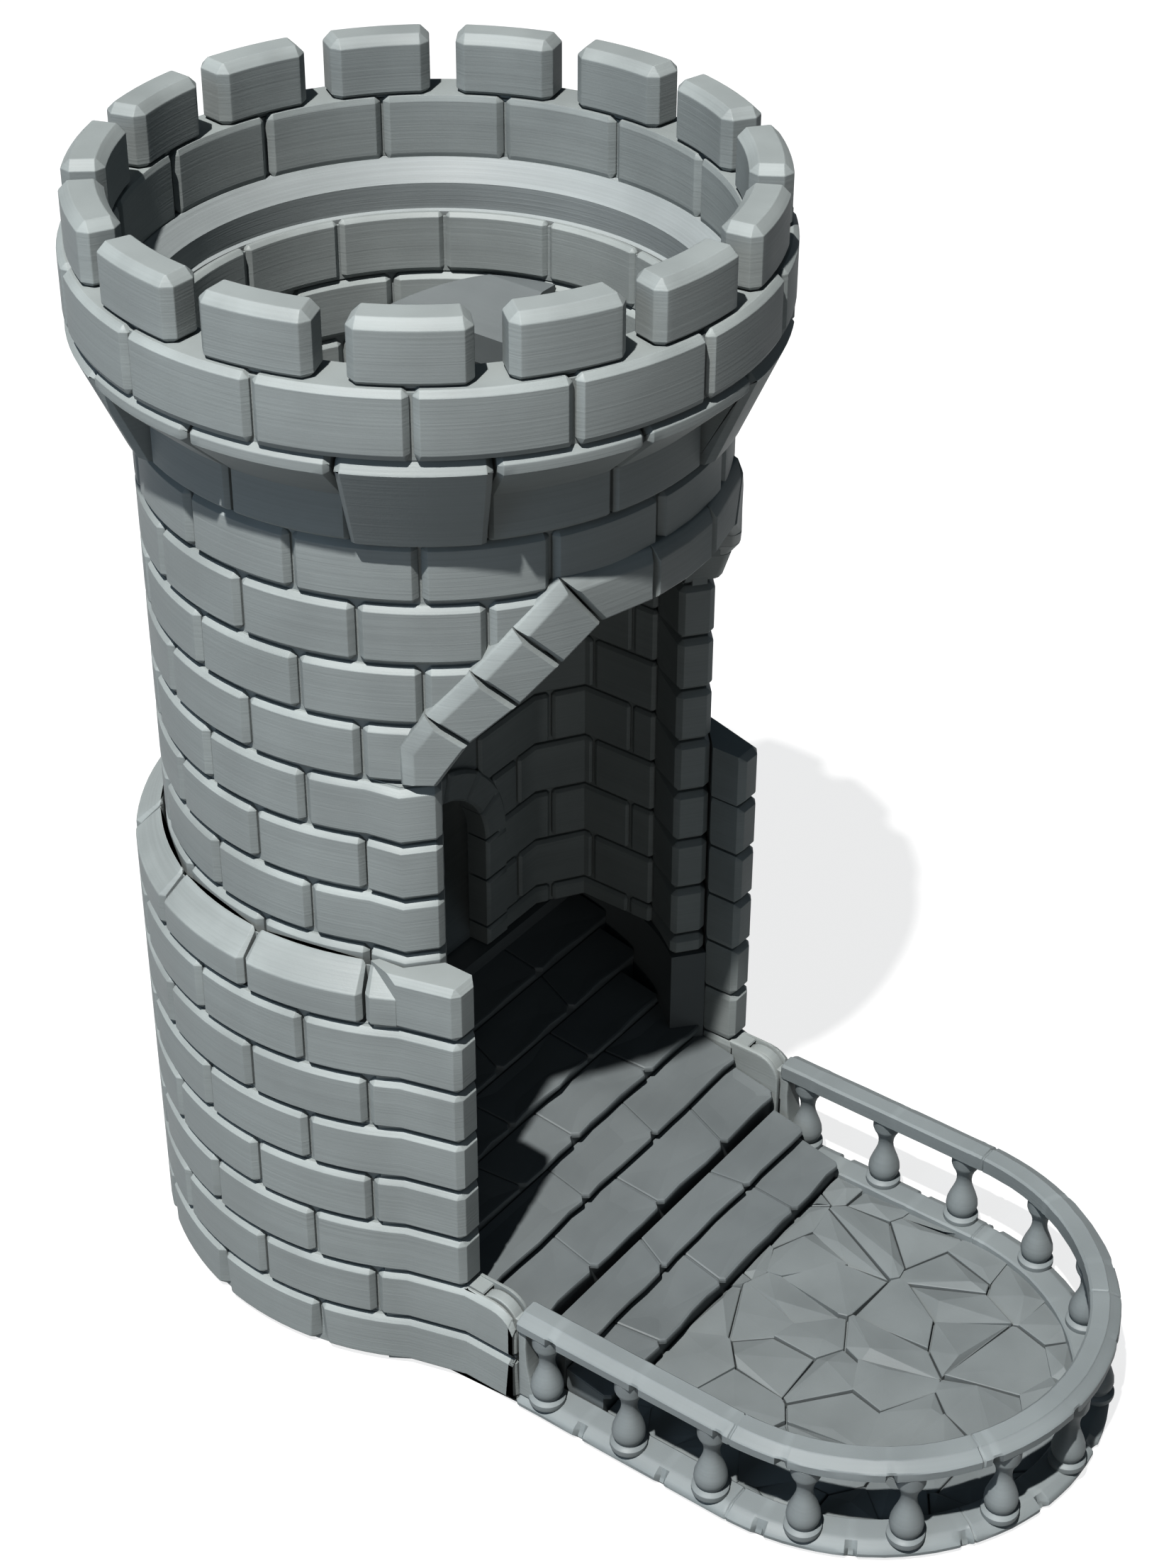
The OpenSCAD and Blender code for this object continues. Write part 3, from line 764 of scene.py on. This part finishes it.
def lathe(shape, profile, count, centre=(0.0, 0.0), wear_and_highlight=0.0):
    """Surface of a counterclockwise profile in r and z, turned about a vertical axis."""
    verts, faces = [], []
    n = len(profile)
    for k in range(count):
        a = 2 * math.pi * k / count
        verts += [(centre[0] + r * math.cos(a), centre[1] + r * math.sin(a), z) for r, z in profile]
    for k in range(count):
        here, there = k * n, (k + 1) % count * n
        for j in range(n):
            after = (j + 1) % n
            faces.append([here + j, there + j, there + after, here + after])
    shape.add(verts, faces, [wear_and_highlight] * len(verts))


tower_wall()
tower_spigot()
gable()
bailey_wall()
coping()
merlons()
parapet()
collar()
funnel()

# ---- floors and stairs


def sloping(y_front):
    """Lifts a tread towards its back, so that the dice roll on down."""
    return lambda p: (p[0], p[1], p[2] + TREAD_RISE * max(0.0, p[1] - y_front) / TREAD)


def tread(shape, rng, y_front, y_back, z_top, half, count):
    """One tread of three or four slabs with slanting joints and a chipped nosing."""
    cuts = [(-half, -half)]
    for k in range(1, count):
        x = -half + 2 * half * (k + rng.uniform(-0.22, 0.22)) / count
        slant = rng.uniform(-2.6, 2.6)
        cuts.append((x - slant / 2, x + slant / 2))
    cuts.append((half, half))
    seam = 0.13
    for (front_l, back_l), (front_r, back_r) in zip(cuts[:-1], cuts[1:]):
        n = max(2, round((front_r - front_l) / 4.5))
        outline = [(front_l + seam, y_front, "o", True)]
        for k in range(1, n):
            x = front_l + (front_r - front_l) * (k + rng.uniform(-0.25, 0.25)) / n
            outline.append((x, y_front + rng.uniform(-0.15, 0.4), "o", False))
        outline += [(front_r - seam, y_front, "e", True), (back_r - seam, y_back, "i", False),
                    (back_l + seam, y_back, "e", False)]
        length = rng.uniform(0.6, 1.3)
        tilt = rng.uniform(-0.06, 0.06)
        rings = [(z_top - NOSING, {"o": 0.25}, length, 0.0), (z_top - NOSING + 0.2, {}, length, 0.0),
                 (z_top - 0.35, {}, length, 0.3), (z_top - 0.06, {"o": 0.1, "e": 0.06}, length, 1.0),
                 (z_top + tilt, {"o": 0.4, "e": 0.3}, length * 0.8, 0.5)]
        block(shape, outline, rings, warp=sloping(y_front),
              peak=(rng.uniform(0.3, 0.7), rng.uniform(0.3, 0.7), 0.15 * rng.random()))


def box_block(shape, x0, x1, y0, y1, z0, z1, **how):
    """Plain filling."""
    plain_block(shape, outlined([(x0, y0), (x1, y0), (x1, y1), (x0, y1)]), z0, z1, **how)


def tread_core(shape, y_front, y_back, z_low, z_top, half):
    """Riser set back under the nosing, and the bed under the slabs."""
    lift = sloping(y_front)
    box_block(shape, -half, half, y_front + SET_BACK, y_back, z_low, z_top - 0.3,
              warp=lambda p: lift(p) if p[2] > z_low + 0.1 else p)


def base_stairs():
    rng = random.Random(11)
    stones, core = Shape(), Shape()
    steps = 6
    for i in range(steps):
        z_top = DECK_Z - (i + 1) * RISER
        y_back = TOP_RISER_Y - i * TREAD
        y_front = CHEEK_Y if i == steps - 1 else y_back - TREAD
        half = HALL if y_front < -23.8 else math.sqrt(LEDGE_R ** 2 - y_front ** 2)
        tread(stones, rng, y_front, y_back + 0.7, z_top, half - 0.05, 4 if i % 2 else 3)
        tread_core(core, y_front, y_back + 0.7, 0.1, z_top, half - 0.1)
    stones.obj("base_stair_stones", SLAB_WITH_PAINTED_SHADE, "base", ["base_stairs"], "smooth_grey_print", smooth=False)
    core.obj("base_stair_core", SLAB_WITH_PAINTED_SHADE, "base", slot="smooth_grey_print")


def tray_stairs():
    rng = random.Random(23)
    stones = Shape()
    middle_y = TOP_RISER_Y - 7 * TREAD
    low_y = TOP_RISER_Y - 8 * TREAD
    for y0, y1, z_top, count in ((middle_y, TRAY_REAR, DECK_Z - 7 * RISER, 3),
                                 (low_y, middle_y + 0.7, DECK_Z - 8 * RISER, 4)):
        tread(stones, rng, y0, y1, z_top, RIM_IN - 0.1, count)
        tread_core(stones, y0, y1 - 0.05, 0.8, z_top, RIM_IN - 0.2)
    stones.obj("tray_stair_stones", SLAB_WITH_PAINTED_SHADE, "tray", ["tray_stairs"], "smooth_grey_print", smooth=False)


def clip(polygon, px, py, nx, ny, kind):
    """The part of a convex polygon on the side of a line away from its normal; the edge made by
    the line has the given class."""
    kept = []
    for k, (ax, ay, edge) in enumerate(polygon):
        bx, by = polygon[(k + 1) % len(polygon)][:2]
        da = (ax - px) * nx + (ay - py) * ny
        db = (bx - px) * nx + (by - py) * ny
        if da <= 0:
            kept.append((ax, ay, edge))
        if da * db < 0:
            t = da / (da - db)
            kept.append((ax + (bx - ax) * t, ay + (by - ay) * t, kind if da < 0 else edge))
    return kept


def tray_region(half, step=9):
    """Outline of the tray's well."""
    turns = range(0, 181, step)
    return ([(half, TRAY_REAR), (-half, TRAY_REAR)]
            + [(-half * math.cos(math.radians(a)), TRAY_ROUND - half * math.sin(math.radians(a)))
               for a in turns])


def tray_floor():
    """Cracked flagstones: irregular low facets parted by thin grooves."""
    rng = random.Random(5)
    stones = Shape()
    low_y = TOP_RISER_Y - 8 * TREAD
    cell = 9.8
    seeds = []
    rows = int((low_y - TRAY_FRONT) / cell) + 2
    for row in range(rows):
        for col in range(-5, 6):
            x = (col + 0.5 * (row % 2) + rng.uniform(-0.48, 0.48)) * cell
            y = low_y - (row - 0.4 + rng.uniform(-0.48, 0.48)) * cell
            seeds.append((x, y))
    open_joint = {(a, b): rng.random() < 0.5 for b in range(len(seeds)) for a in range(b)}
    region = [p + ("t",) for p in tray_region(RIM_IN + 0.3)]
    for here, (x, y) in enumerate(seeds):
        polygon = clip(region, 0, low_y + 0.6, 0, 1, "t")
        for there, (ox, oy) in enumerate(seeds):
            dx, dy = ox - x, oy - y
            d = math.hypot(dx, dy)
            if 0 < d < 4 * cell and polygon:
                wide = open_joint[min(here, there), max(here, there)]
                inner = d / 2 - (0.16 if wide else 0.0)
                polygon = clip(polygon, x + dx / d * inner, y + dy / d * inner, dx / d, dy / d,
                               "o" if wide else "t")
        area = sum(polygon[k - 1][0] * polygon[k][1] - polygon[k][0] * polygon[k - 1][1]
                   for k in range(len(polygon))) / 2
        if area < 4:
            continue
        tilt_x, tilt_y = rng.uniform(-0.06, 0.06), rng.uniform(-0.06, 0.06)
        cx = sum(p[0] for p in polygon) / len(polygon)
        cy = sum(p[1] for p in polygon) / len(polygon)

        def leaning(p):
            """Tilts the top of a stone a little."""
            if p[2] < FLOOR_T:
                return p
            return (p[0], p[1], p[2] + (p[0] - cx) * tilt_x + (p[1] - cy) * tilt_y)

        outline = [(px, py, edge, False) for px, py, edge in polygon]
        top = FLOOR_T + rng.uniform(0.2, 0.45)
        rings = [(0.7, {}, 0, 0), (top - 0.12, {}, 0, 0.5), (top, {"o": 0.12}, 0, 0.5)]
        block(stones, outline, rings, warp=leaning,
              peak=(rng.uniform(0.15, 0.85), rng.uniform(0.15, 0.85), rng.uniform(0.2, 1.0)))
    plain_block(stones, outlined(tray_region(RIM_IN + 1)), 0.0, 0.75)
    stones.obj("tray_flagstones", FLAG_WITH_PAINTED_SHADE, "tray", ["tray_floor"], "smooth_grey_print", smooth=False)


# ---- rail, rim and balusters

BALUSTER_ROWS = (-48.7, -64.6, -80.1)
BALUSTER_ANGLES = [18.6 + 23.8 * i for i in range(7)]


def tray_route(stops):
    """Stations along the tray's U, from the rear right round to the rear left. Each is a base
    point and an outward direction, and how far along it lies."""
    round_end = TRAY_SIDE + TRAY_TURN
    places = set(stops)
    places.update(TRAY_SIDE * k / 8 for k in range(9))
    places.update(TRAY_SIDE + TRAY_TURN * k / 48 for k in range(49))
    places.update(round_end + TRAY_SIDE * k / 8 for k in range(9))
    for s in sorted(p for p in places if 0 <= p <= TRAY_LENGTH + 1e-6):
        if s <= TRAY_SIDE:
            yield s, (0.0, TRAY_REAR - s), (1.0, 0.0)
        elif s >= round_end:
            yield s, (0.0, TRAY_ROUND + s - TRAY_SIDE - TRAY_TURN), (-1.0, 0.0)
        else:
            a = (s - TRAY_SIDE) / TRAY_HALF
            yield s, (0.0, TRAY_ROUND), (math.cos(a), -math.sin(a))


def along_tray(y=None, angle=None, side=1):
    """Distance along the U of a place on a straight side, or at an angle on the round end."""
    s = TRAY_REAR - y if y is not None else TRAY_SIDE + TRAY_HALF * math.radians(angle)
    return s if side > 0 else TRAY_LENGTH - s


def swept_band(shape, section, chips, joints_at, ends, rough, rng):
    """Sweeps a section in d and z round the tray. Each section point is (d, z, chip_d, chip_z);
    chips are notches, joints_at are shallow lines across, and ends are how much it shrinks."""
    stops = []
    for s, size in chips:
        stops += [s - 0.75 * size, s - 0.3 * size, s + 0.3 * size, s + 0.75 * size]
    for s in joints_at:
        stops += [s - 0.3, s - 0.1, s + 0.1, s + 0.3]
    stops += [0.0, 0.25, 0.7, TRAY_LENGTH - 0.7, TRAY_LENGTH - 0.25, TRAY_LENGTH]
    d_mid = sum(p[0] for p in section) / len(section)
    z_mid = sum(p[1] for p in section) / len(section)
    verts, wear_and_highlight = [], []
    for s, (bx, by), (nx, ny) in tray_route(stops):
        depth = max([1.0 for c, size in chips if abs(s - c) <= 0.31 * size], default=0.0)
        line = 0.14 if any(abs(s - j) <= 0.11 for j in joints_at) else 0.0
        edge = min(s, TRAY_LENGTH - s)
        shrink = ends if edge < 0.1 else ends * 0.25 if edge < 0.4 else 0.0
        for d, z, chip_d, chip_z in section:
            wobble = rough * rng.uniform(-1, 1)
            out, up = math.copysign(1.0, d - d_mid), math.copysign(1.0, z - z_mid)
            dd = d + depth * chip_d + wobble - line * out - shrink * out
            zz = z + depth * chip_z + wobble * 0.5 - line * (z > z_mid) - shrink * up
            verts.append((bx + dd * nx, by + dd * ny, zz))
            # chips and ends are paler as wear; the outer edge points are paler as a painted highlight
            wear_and_highlight.append(0.9 if depth or shrink else 0.55 if chip_d or chip_z else 0.1)
    n = len(section)
    cap = list(range(len(verts) - n, len(verts)))
    shape.add(verts, tube_faces(n, len(verts) // n) + [cap], wear_and_highlight)


def baluster_places():
    """Places in plan: in rows on the straight sides, then round the end."""
    for side in (1, -1):
        for y in BALUSTER_ROWS:
            yield side * BALUSTER_X, y
    for angle in BALUSTER_ANGLES:
        a = math.radians(angle)
        yield BALUSTER_X * math.cos(a), TRAY_ROUND - BALUSTER_X * math.sin(a)


def tray_rail_and_rim():
    rng = random.Random(31)
    beside = [along_tray(y=y - 2.4, side=side) for side in (1, -1) for y in BALUSTER_ROWS]
    beside += [along_tray(angle=a + 5) for a in BALUSTER_ANGLES]
    between = [along_tray(y=y, side=side) for side in (1, -1) for y in (-56.4, -72.1)]
    between += [along_tray(angle=a) for a in (4, 33, 52, 81, 103, 124, 150, 171)]
    joints_at = [along_tray(y=-84.5), along_tray(y=-84.5, side=-1), along_tray(angle=58),
                 along_tray(angle=122)]

    rail = Shape()
    outer, inner = TRAY_HALF, HALL
    section = [(inner + 0.35, RAIL_LOW, 0, 0), (outer - 0.45, RAIL_LOW, -0.9, 0.1),
               (outer, RAIL_LOW + 0.45, -0.9, 0.6), (outer, RAIL_TOP - 1.35, -0.2, -0.1),
               (outer - 0.3, RAIL_TOP - 1.0, 0, 0), (outer - 1.75, RAIL_TOP - 0.35, 0, 0),
               (outer - 2.0, RAIL_TOP - 0.05, 0, 0), (inner + 0.4, RAIL_TOP - 0.02, 0, 0),
               (inner, RAIL_TOP - 0.4, 0, 0), (inner, RAIL_LOW + 0.35, 0, 0)]
    swept_band(rail, section, [(s, rng.uniform(1.1, 1.6)) for s in beside], joints_at, 0.45, 0.045, rng)
    rail.obj("hand_rail", RAILING_WITH_PAINTED_SHADE, "tray", ["tray_rail"])

    rim = Shape()
    inner = RIM_IN
    section = [(inner - 0.2, 0.05, 0, 0), (outer - 0.9, 0.0, 0, 0), (outer - 0.35, 0.5, -0.3, 0),
               (outer, 0.9, -0.9, 0), (outer, 1.5, -1.1, -0.2), (outer - 0.45, 2.1, -0.7, -0.5),
               (outer - 1.6, 2.75, 0, 0), (outer - 2.2, RIM_TOP, 0, 0),
               (inner + 0.3, RIM_TOP - 0.02, 0, 0), (inner, RIM_TOP - 0.3, 0, 0)]
    swept_band(rim, section, [(s, rng.uniform(1.1, 1.7)) for s in between], joints_at, 0.3, 0.045, rng)
    rim.obj("low_rim", RAILING_WITH_PAINTED_SHADE, "tray", ["tray_rim"])


# profile of a baluster in r and z, from the top of the rim up
BALUSTER = [(0.0, -0.3), (2.85, -0.3), (2.98, 0.15), (2.96, 0.8), (2.6, 1.1), (2.2, 1.25), (2.15, 1.45),
            (2.55, 2.1), (2.7, 2.9), (2.6, 3.9), (2.2, 5.2), (1.75, 6.4), (1.4, 7.5), (1.27, 8.5),
            (1.35, 9.6), (1.7, 10.7), (2.15, 11.5), (2.4, 12.2), (2.4, 14.3), (0.0, 14.3)]


def balusters():
    shape = Shape()
    for x, y in baluster_places():
        lathe(shape, [(r, z + RIM_TOP) for r, z in BALUSTER], 32, centre=(x, y), wear_and_highlight=0.25)
    shape.obj("turned_balusters", RAILING_WITH_PAINTED_SHADE, "tray", ["balusters"])


# ---- hinge


def knuckle_arc(radius, a0, a1, count=8):
    """Points in y and z round the hinge axis, with the angle from +Y towards +Z."""
    angles = [math.radians(a0 + (a1 - a0) * k / count) for k in range(count + 1)]
    return [(PIVOT_Y + radius * math.cos(a), PIVOT_Z + radius * math.sin(a)) for a in angles]


def plate(t0, t1, c, worn_and_highlit):
    """Rings of a plate with rounded edges; the last argument gives its wear and painted highlight from the
    faces inwards.
    """
    steps = [(0.0, c, worn_and_highlit[0]), (c * 0.3, c * 0.3, worn_and_highlit[1]), (c, 0.0, worn_and_highlit[2])]
    return ([(t0 + t, {"o": inset}, 0, w) for t, inset, w in steps]
            + [(t1 - t, {"o": inset}, 0, w) for t, inset, w in steps[::-1]])


def hinges():
    """The inner skin of each cheek, and the ear and web that join the tray to it."""
    ear_r = KNUCKLE - 0.3
    post = TRAY_REAR - 1.5
    wall = JAMB_Y + 0.6
    skin = outlined([(CHEEK_Y, 0.1), (wall, 0.1), (wall, CHEEK_TOP)] + knuckle_arc(KNUCKLE, 90, 180))
    filler = outlined(
        [(CHEEK_Y + 0.3, 0.1), (wall, 0.1), (wall, CHEEK_TOP - 0.1), (PIVOT_Y + 2.5, CHEEK_TOP - 0.3)]
        + knuckle_arc(KNUCKLE + 0.06, -90, 60)[::-1] + [(CHEEK_Y + 0.3, PIVOT_Z - KNUCKLE)])
    ear = outlined([(post, PIVOT_Z - ear_r)] + knuckle_arc(ear_r, -90, 150, 20)
                   + [(post, RAIL_LOW + 0.5)])
    web = outlined([(TRAY_REAR - back, z) for back, z in (
        (3.8, RIM_TOP - 0.4), (0.0, RIM_TOP - 0.4), (0.0, RAIL_LOW + 0.3), (1.7, RAIL_LOW + 0.3),
        (1.6, 13.5), (1.8, 10.0), (2.4, 6.5), (3.2, 4.2))])
    for side, name in SIDES:

        def place(y, z, t):
            return (side * t, y, z)

        cheek = Shape()
        block(cheek, skin, [(HALL, {"o": 0.4}, 0, 0.5), (HALL + 0.15, {"o": 0.12}, 0, 1.0),
                            (HALL + 0.4, {}, 0, 0.6), (SLOT_IN - 0.02, {}, 0, 0)], place)
        plain_block(cheek, filler, SLOT_IN - 0.02, SLOT_OUT + 0.02, place=place)
        cheek.obj(f"cheek_inner_{name}", STONE, "base", [f"cheek_{name}"])
        arm = Shape()
        block(arm, ear, plate(SLOT_IN + 0.3, SLOT_OUT - 0.3, 0.3, (0.4, 0.9, 0.5)), place)
        block(arm, web, plate(HALL + 0.25, TRAY_HALF - 0.6, 0.5, (0.3, 0.6, 0.2)), place)
        arm.obj(f"hinge_ear_{name}", STONE, "tray", [f"hinge_arm_{name}"])


# ---- porch

PORCH_HALF = 35.3
PORCH_Y = low("porch_back_wall").y
SHAFT_Y = high("porch_back_wall").y
CORNER_X = 28.0
CORNER_Y = -2.0
QUOIN_Y = low("porch_wall_right").y
DOOR_HALF = 14.0
DOOR_SPRING = high("door_jambs").z
ARCH_R = high("door_arch").x
PORCH_DEPTH = 2.6
RAMP_LOW = low("top_ramp").z
RAMP_T = 4.0
RAMP_SLOPE = (high("top_ramp").z - RAMP_T - RAMP_LOW) / (SHAFT_Y - low("top_ramp").y)
PORCH_STONE = 15.4  # length of a stone of the porch's walls
# the walls' stones keep this far from the door's middle, up to each height
DOOR_CLEAR = ((DOOR_SPRING - 5, 17.0), (DOOR_SPRING + 5, 16.0), (ARCH_R + DOOR_SPRING - 1, 12.6))


def under_ramp(p):
    """Keeps the walls' top edge inside the sloping ceiling."""
    return (p[0], p[1], min(p[2], RAMP_LOW + (SHAFT_Y - p[1]) * RAMP_SLOPE + 1.5))


PORCH_FRONT = [(-PORCH_HALF, QUOIN_Y), (-PORCH_HALF, CORNER_Y), (-CORNER_X, PORCH_Y),
               (CORNER_X, PORCH_Y), (PORCH_HALF, CORNER_Y), (PORCH_HALF, QUOIN_Y)]


def porch_back(point):
    """The point behind a corner of the porch's front line."""
    x, y = point
    out = 1 if x > 0 else -1
    if y == QUOIN_Y:
        return (x + out * PORCH_DEPTH * 0.35, y)
    if y == CORNER_Y:
        return (x + out * PORCH_DEPTH, y + 1.3)
    return (x + out * 0.9, y + PORCH_DEPTH)


PORCH_BACK = [porch_back(p) for p in PORCH_FRONT]


# distance along the porch's line of each of its corners
PORCH_RUN = [0.0]
for (from_x, from_y), (to_x, to_y) in zip(PORCH_FRONT[:-1], PORCH_FRONT[1:]):
    PORCH_RUN.append(PORCH_RUN[-1] + math.hypot(to_x - from_x, to_y - from_y))


def porch_point(line, s):
    """Point at a distance along the porch's line, on its front or its back."""
    k = max(i for i in range(len(PORCH_RUN) - 1) if PORCH_RUN[i] <= s + 1e-9)
    f = (s - PORCH_RUN[k]) / (PORCH_RUN[k + 1] - PORCH_RUN[k])
    (ax, ay), (bx, by) = line[k], line[k + 1]
    return (ax + (bx - ax) * f, ay + (by - ay) * f)


def porch_stone(shape, s0, s1, rings):
    corners = [s for s in PORCH_RUN if s0 + 0.01 < s < s1 - 0.01]
    front = [porch_point(PORCH_FRONT, s) + ("o", False) for s in [s0] + corners + [s1]]
    back = [porch_point(PORCH_BACK, s) + ("i", False) for s in [s1] + corners[::-1] + [s0]]
    front[0], front[-1] = corner(front[0]), last_corner(front[-1])
    back[-1] = with_class(back[-1], "e")
    block(shape, front + back, rings, warp=under_ramp)


def porch_walls():
    stones, core = Shape(), Shape()
    total = PORCH_RUN[-1]
    middle = total / 2
    z = DECK_Z
    row = 0
    while z < RAMP_LOW + 10:
        z1 = DECK_Z + 4 if row == 0 else z + COURSE
        rings = chamfered(z + GAP / 2, z1 - GAP / 2, 0.6, back_share(0.0))
        clear = next((across for top, across in DOOR_CLEAR if z < top), 0.0)
        cuts = [middle + (k + 0.5 * (row % 2)) * PORCH_STONE for k in range(-4, 5)]
        for s_from, s_to in ((0.0, middle - clear), (middle + clear, total)) if clear else ((0.0, total),):
            edges = [s_from] + [s for s in cuts if s_from + 3.5 < s < s_to - 3.5] + [s_to]
            for s0, s1 in zip(edges[:-1], edges[1:]):
                porch_stone(stones, s0 + GAP / 2, s1 - GAP / 2, rings)
        z = z1
        row += 1
    half = DOOR_HALF + 2
    side_x = CORNER_X + 1
    for x0, x1, z0, z1 in ((-side_x, -half, DECK_Z, DOOR_SPRING + 16),
                           (half, side_x, DECK_Z, DOOR_SPRING + 16),
                           (-side_x, side_x, DOOR_SPRING + 15, RAMP_LOW + 1)):
        box_block(core, x0, x1, PORCH_Y + 0.9, SHAFT_Y, z0, z1)
    wall = outlined([(CORNER_X, PORCH_Y + 1.4), (PORCH_HALF + 0.9, CORNER_Y + 0.6),
                     (PORCH_HALF + 0.9, QUOIN_Y + 1.2), (38.9, CORNER_Y - 4), (38.9, CORNER_Y),
                     (36, SHAFT_Y), (CORNER_X, SHAFT_Y)])
    for side in (1, -1):
        plain_block(core, on_side(wall, side), DECK_Z, RAMP_LOW + 12, warp=under_ramp)
    stones.obj("porch_stones", STONE, "tower", ["porch_back_wall", "porch_wall_left", "porch_wall_right"],
               "smooth_grey_print")
    core.obj("porch_core", STONE, "tower", slot="smooth_grey_print")


def arch_curve(radius, a0, a1, count=5):
    """Points in x and z on a circle about the middle of the door's arch."""
    angles = [math.radians(a0 + (a1 - a0) * k / count) for k in range(count + 1)]
    return [(radius * math.cos(a), DOOR_SPRING + radius * math.sin(a)) for a in angles]


def doorway():
    arch, jambs = Shape(), Shape()
    rings = chamfered(-SHAFT_Y, 0.4 - PORCH_Y, 0.6, start=False)
    count, seam = 7, 0.5
    for k in range(count):
        turn = (180 * k / count + seam, 180 * (k + 1) / count - seam)
        outline = outlined(arch_curve(ARCH_R, *turn) + arch_curve(DOOR_HALF, *turn)[::-1],
                           "oooooeiiiiie")
        block(arch, outline, rings, along_y)
    arch.obj("arch_stones", STONE, "tower", ["door_arch"])
    heights = (DECK_Z, DECK_Z + 4, DECK_Z + 14, DOOR_SPRING)
    for side in (1, -1):
        for z0, z1 in zip(heights[:-1], heights[1:]):
            outline = outlined([(DOOR_HALF, z0 + GAP / 2), (ARCH_R, z0 + GAP / 2),
                                (ARCH_R, z1 - GAP / 2), (DOOR_HALF, z1 - GAP / 2)])
            block(jambs, on_side(outline, side), rings, along_y)
    jambs.obj("door_jamb_stones", STONE, "tower", ["door_jambs"])


def ramp_lip():
    """Nose at the back end of the ceiling ramp, where the dice drop."""
    shape = Shape()
    half = 36.4
    end = SHAFT_Y + 6.5
    fall = RAMP_LOW - (end - SHAFT_Y) * RAMP_SLOPE
    points = [(SHAFT_Y, RAMP_LOW + 0.1), (end, fall), (end + 0.8, fall + 1.0), (end + 0.8, fall + 2.4),
              (end - 0.2, fall + RAMP_T - 0.4), (SHAFT_Y, RAMP_LOW + RAMP_T - 0.1)]
    block(shape, outlined(points), chamfered(-half, half, 0.5), across_x)
    shape.obj("ramp_lip", SMOOTH, "tower", slot="smooth_grey_print")


base_stairs()
tray_stairs()
tray_floor()
tray_rail_and_rim()
balusters()
hinges()
porch_walls()
doorway()
ramp_lip()

# ---- stage, light and camera

for name, node in frame["nodes"].items():
    if not node.hide_render:
        node.data.materials.clear()
        node.data.materials.append(SMOOTH if name in ("top_ramp", "lower_ramp") else SLAB_WITH_PAINTED_SHADE)


# name, direction from the tower, distance, size, power and colour of each round lamp
LAMPS = (("key", (-0.467, -0.104, 1.0), 4.0, 0.09, 365.0, (1.0, 0.98, 0.96)),
         ("fill", (-1.0, 0.15, 0.45), 1.2, 0.6, 3.4, (0.62, 0.80, 1.0)),
         ("low", (-0.76, -0.58, -0.05), 0.62, 0.12, 0.42, (1.0, 0.96, 0.90)))
LAMP_TARGET = Vector((0, -0.03, 0.08))  # the tower's middle, which the lamps face
CAMERA_TURN = (-53.947, 35.172, 0.35)  # azimuth, elevation and roll, in degrees
CAMERA_PLACE = (-0.30835, -0.25291, 0.36143)
CAMERA_LENS = 69.74


def studio():
    """Table, world and lamps."""
    floor_mesh = bpy.data.meshes.new("floor")
    size = 3.0
    floor_mesh.from_pydata([(-size, -size, 0), (size, -size, 0), (size, size, 0), (-size, size, 0)],
                           [], [(0, 1, 2, 3)])
    floor = bpy.data.objects.new("floor", floor_mesh)
    floor.location.z = -0.0002
    floor.visible_diffuse = False  # the object keeps the dark undersides of a real table
    pale = bpy.data.materials.new("pale_floor")
    n = Nodes(pale)
    shader = n.new("ShaderNodeBsdfPrincipled", {
        "Base Color": (0.13, 0.13, 0.13, 1), "Roughness": 0.9, "Emission Color": (1.0, 1.0, 1.0, 1),
        "Emission Strength": 0.84})
    n.finish("ShaderNodeOutputMaterial", shader.outputs["BSDF"])
    floor_mesh.materials.append(pale)
    bpy.context.scene.collection.objects.link(floor)

    world = bpy.data.worlds.new("studio")
    n = Nodes(world)
    direction = n.new("ShaderNodeSeparateXYZ",
                      {"Vector": n.new("ShaderNodeTexCoord").outputs["Generated"]})
    sky = n.new("ShaderNodeMixRGB", {  # bluish from above, paler back from the table
        "Fac": n.remap(direction.outputs["Z"], -0.2, 0.1, 0.0, 1.0),
        "Color1": (0.200, 0.208, 0.212, 1), "Color2": (0.098, 0.127, 0.152, 1)})
    background = n.new("ShaderNodeBackground", {"Color": sky.outputs["Color"]})
    n.finish("ShaderNodeOutputWorld", background.outputs["Background"])
    bpy.context.scene.world = world

    for name, direction, distance, size, power, colour in LAMPS:
        light = bpy.data.lights.new(name, "AREA")
        light.shape = "DISK"
        light.size = size
        light.energy = power
        light.color = colour
        lamp = bpy.data.objects.new(name, light)
        lamp.location = LAMP_TARGET + Vector(direction).normalized() * distance
        lamp.rotation_euler = Vector(direction).to_track_quat("Z", "Y").to_euler()
        bpy.context.scene.collection.objects.link(lamp)
    scene = bpy.context.scene
    scene.view_settings.view_transform = "Standard"
    scene.view_settings.gamma = 0.8


def camera():
    azimuth, elevation, roll = (math.radians(a) for a in CAMERA_TURN)
    back = Vector((math.sin(azimuth) * math.cos(elevation),
                   -math.cos(azimuth) * math.cos(elevation), math.sin(elevation)))
    right = Vector((0, 0, 1)).cross(back).normalized()
    up = back.cross(right)
    turned_right = right * math.cos(roll) + up * math.sin(roll)
    turned_up = up * math.cos(roll) - right * math.sin(roll)
    data = bpy.data.cameras.new("camera")
    data.sensor_width = 36.0
    data.lens = CAMERA_LENS
    cam = bpy.data.objects.new("camera", data)
    cam.matrix_world = Matrix.Translation(CAMERA_PLACE) @ Matrix(
        (turned_right, turned_up, back)).transposed().to_4x4()
    bpy.context.scene.collection.objects.link(cam)
    bpy.context.scene.camera = cam


studio()
camera()
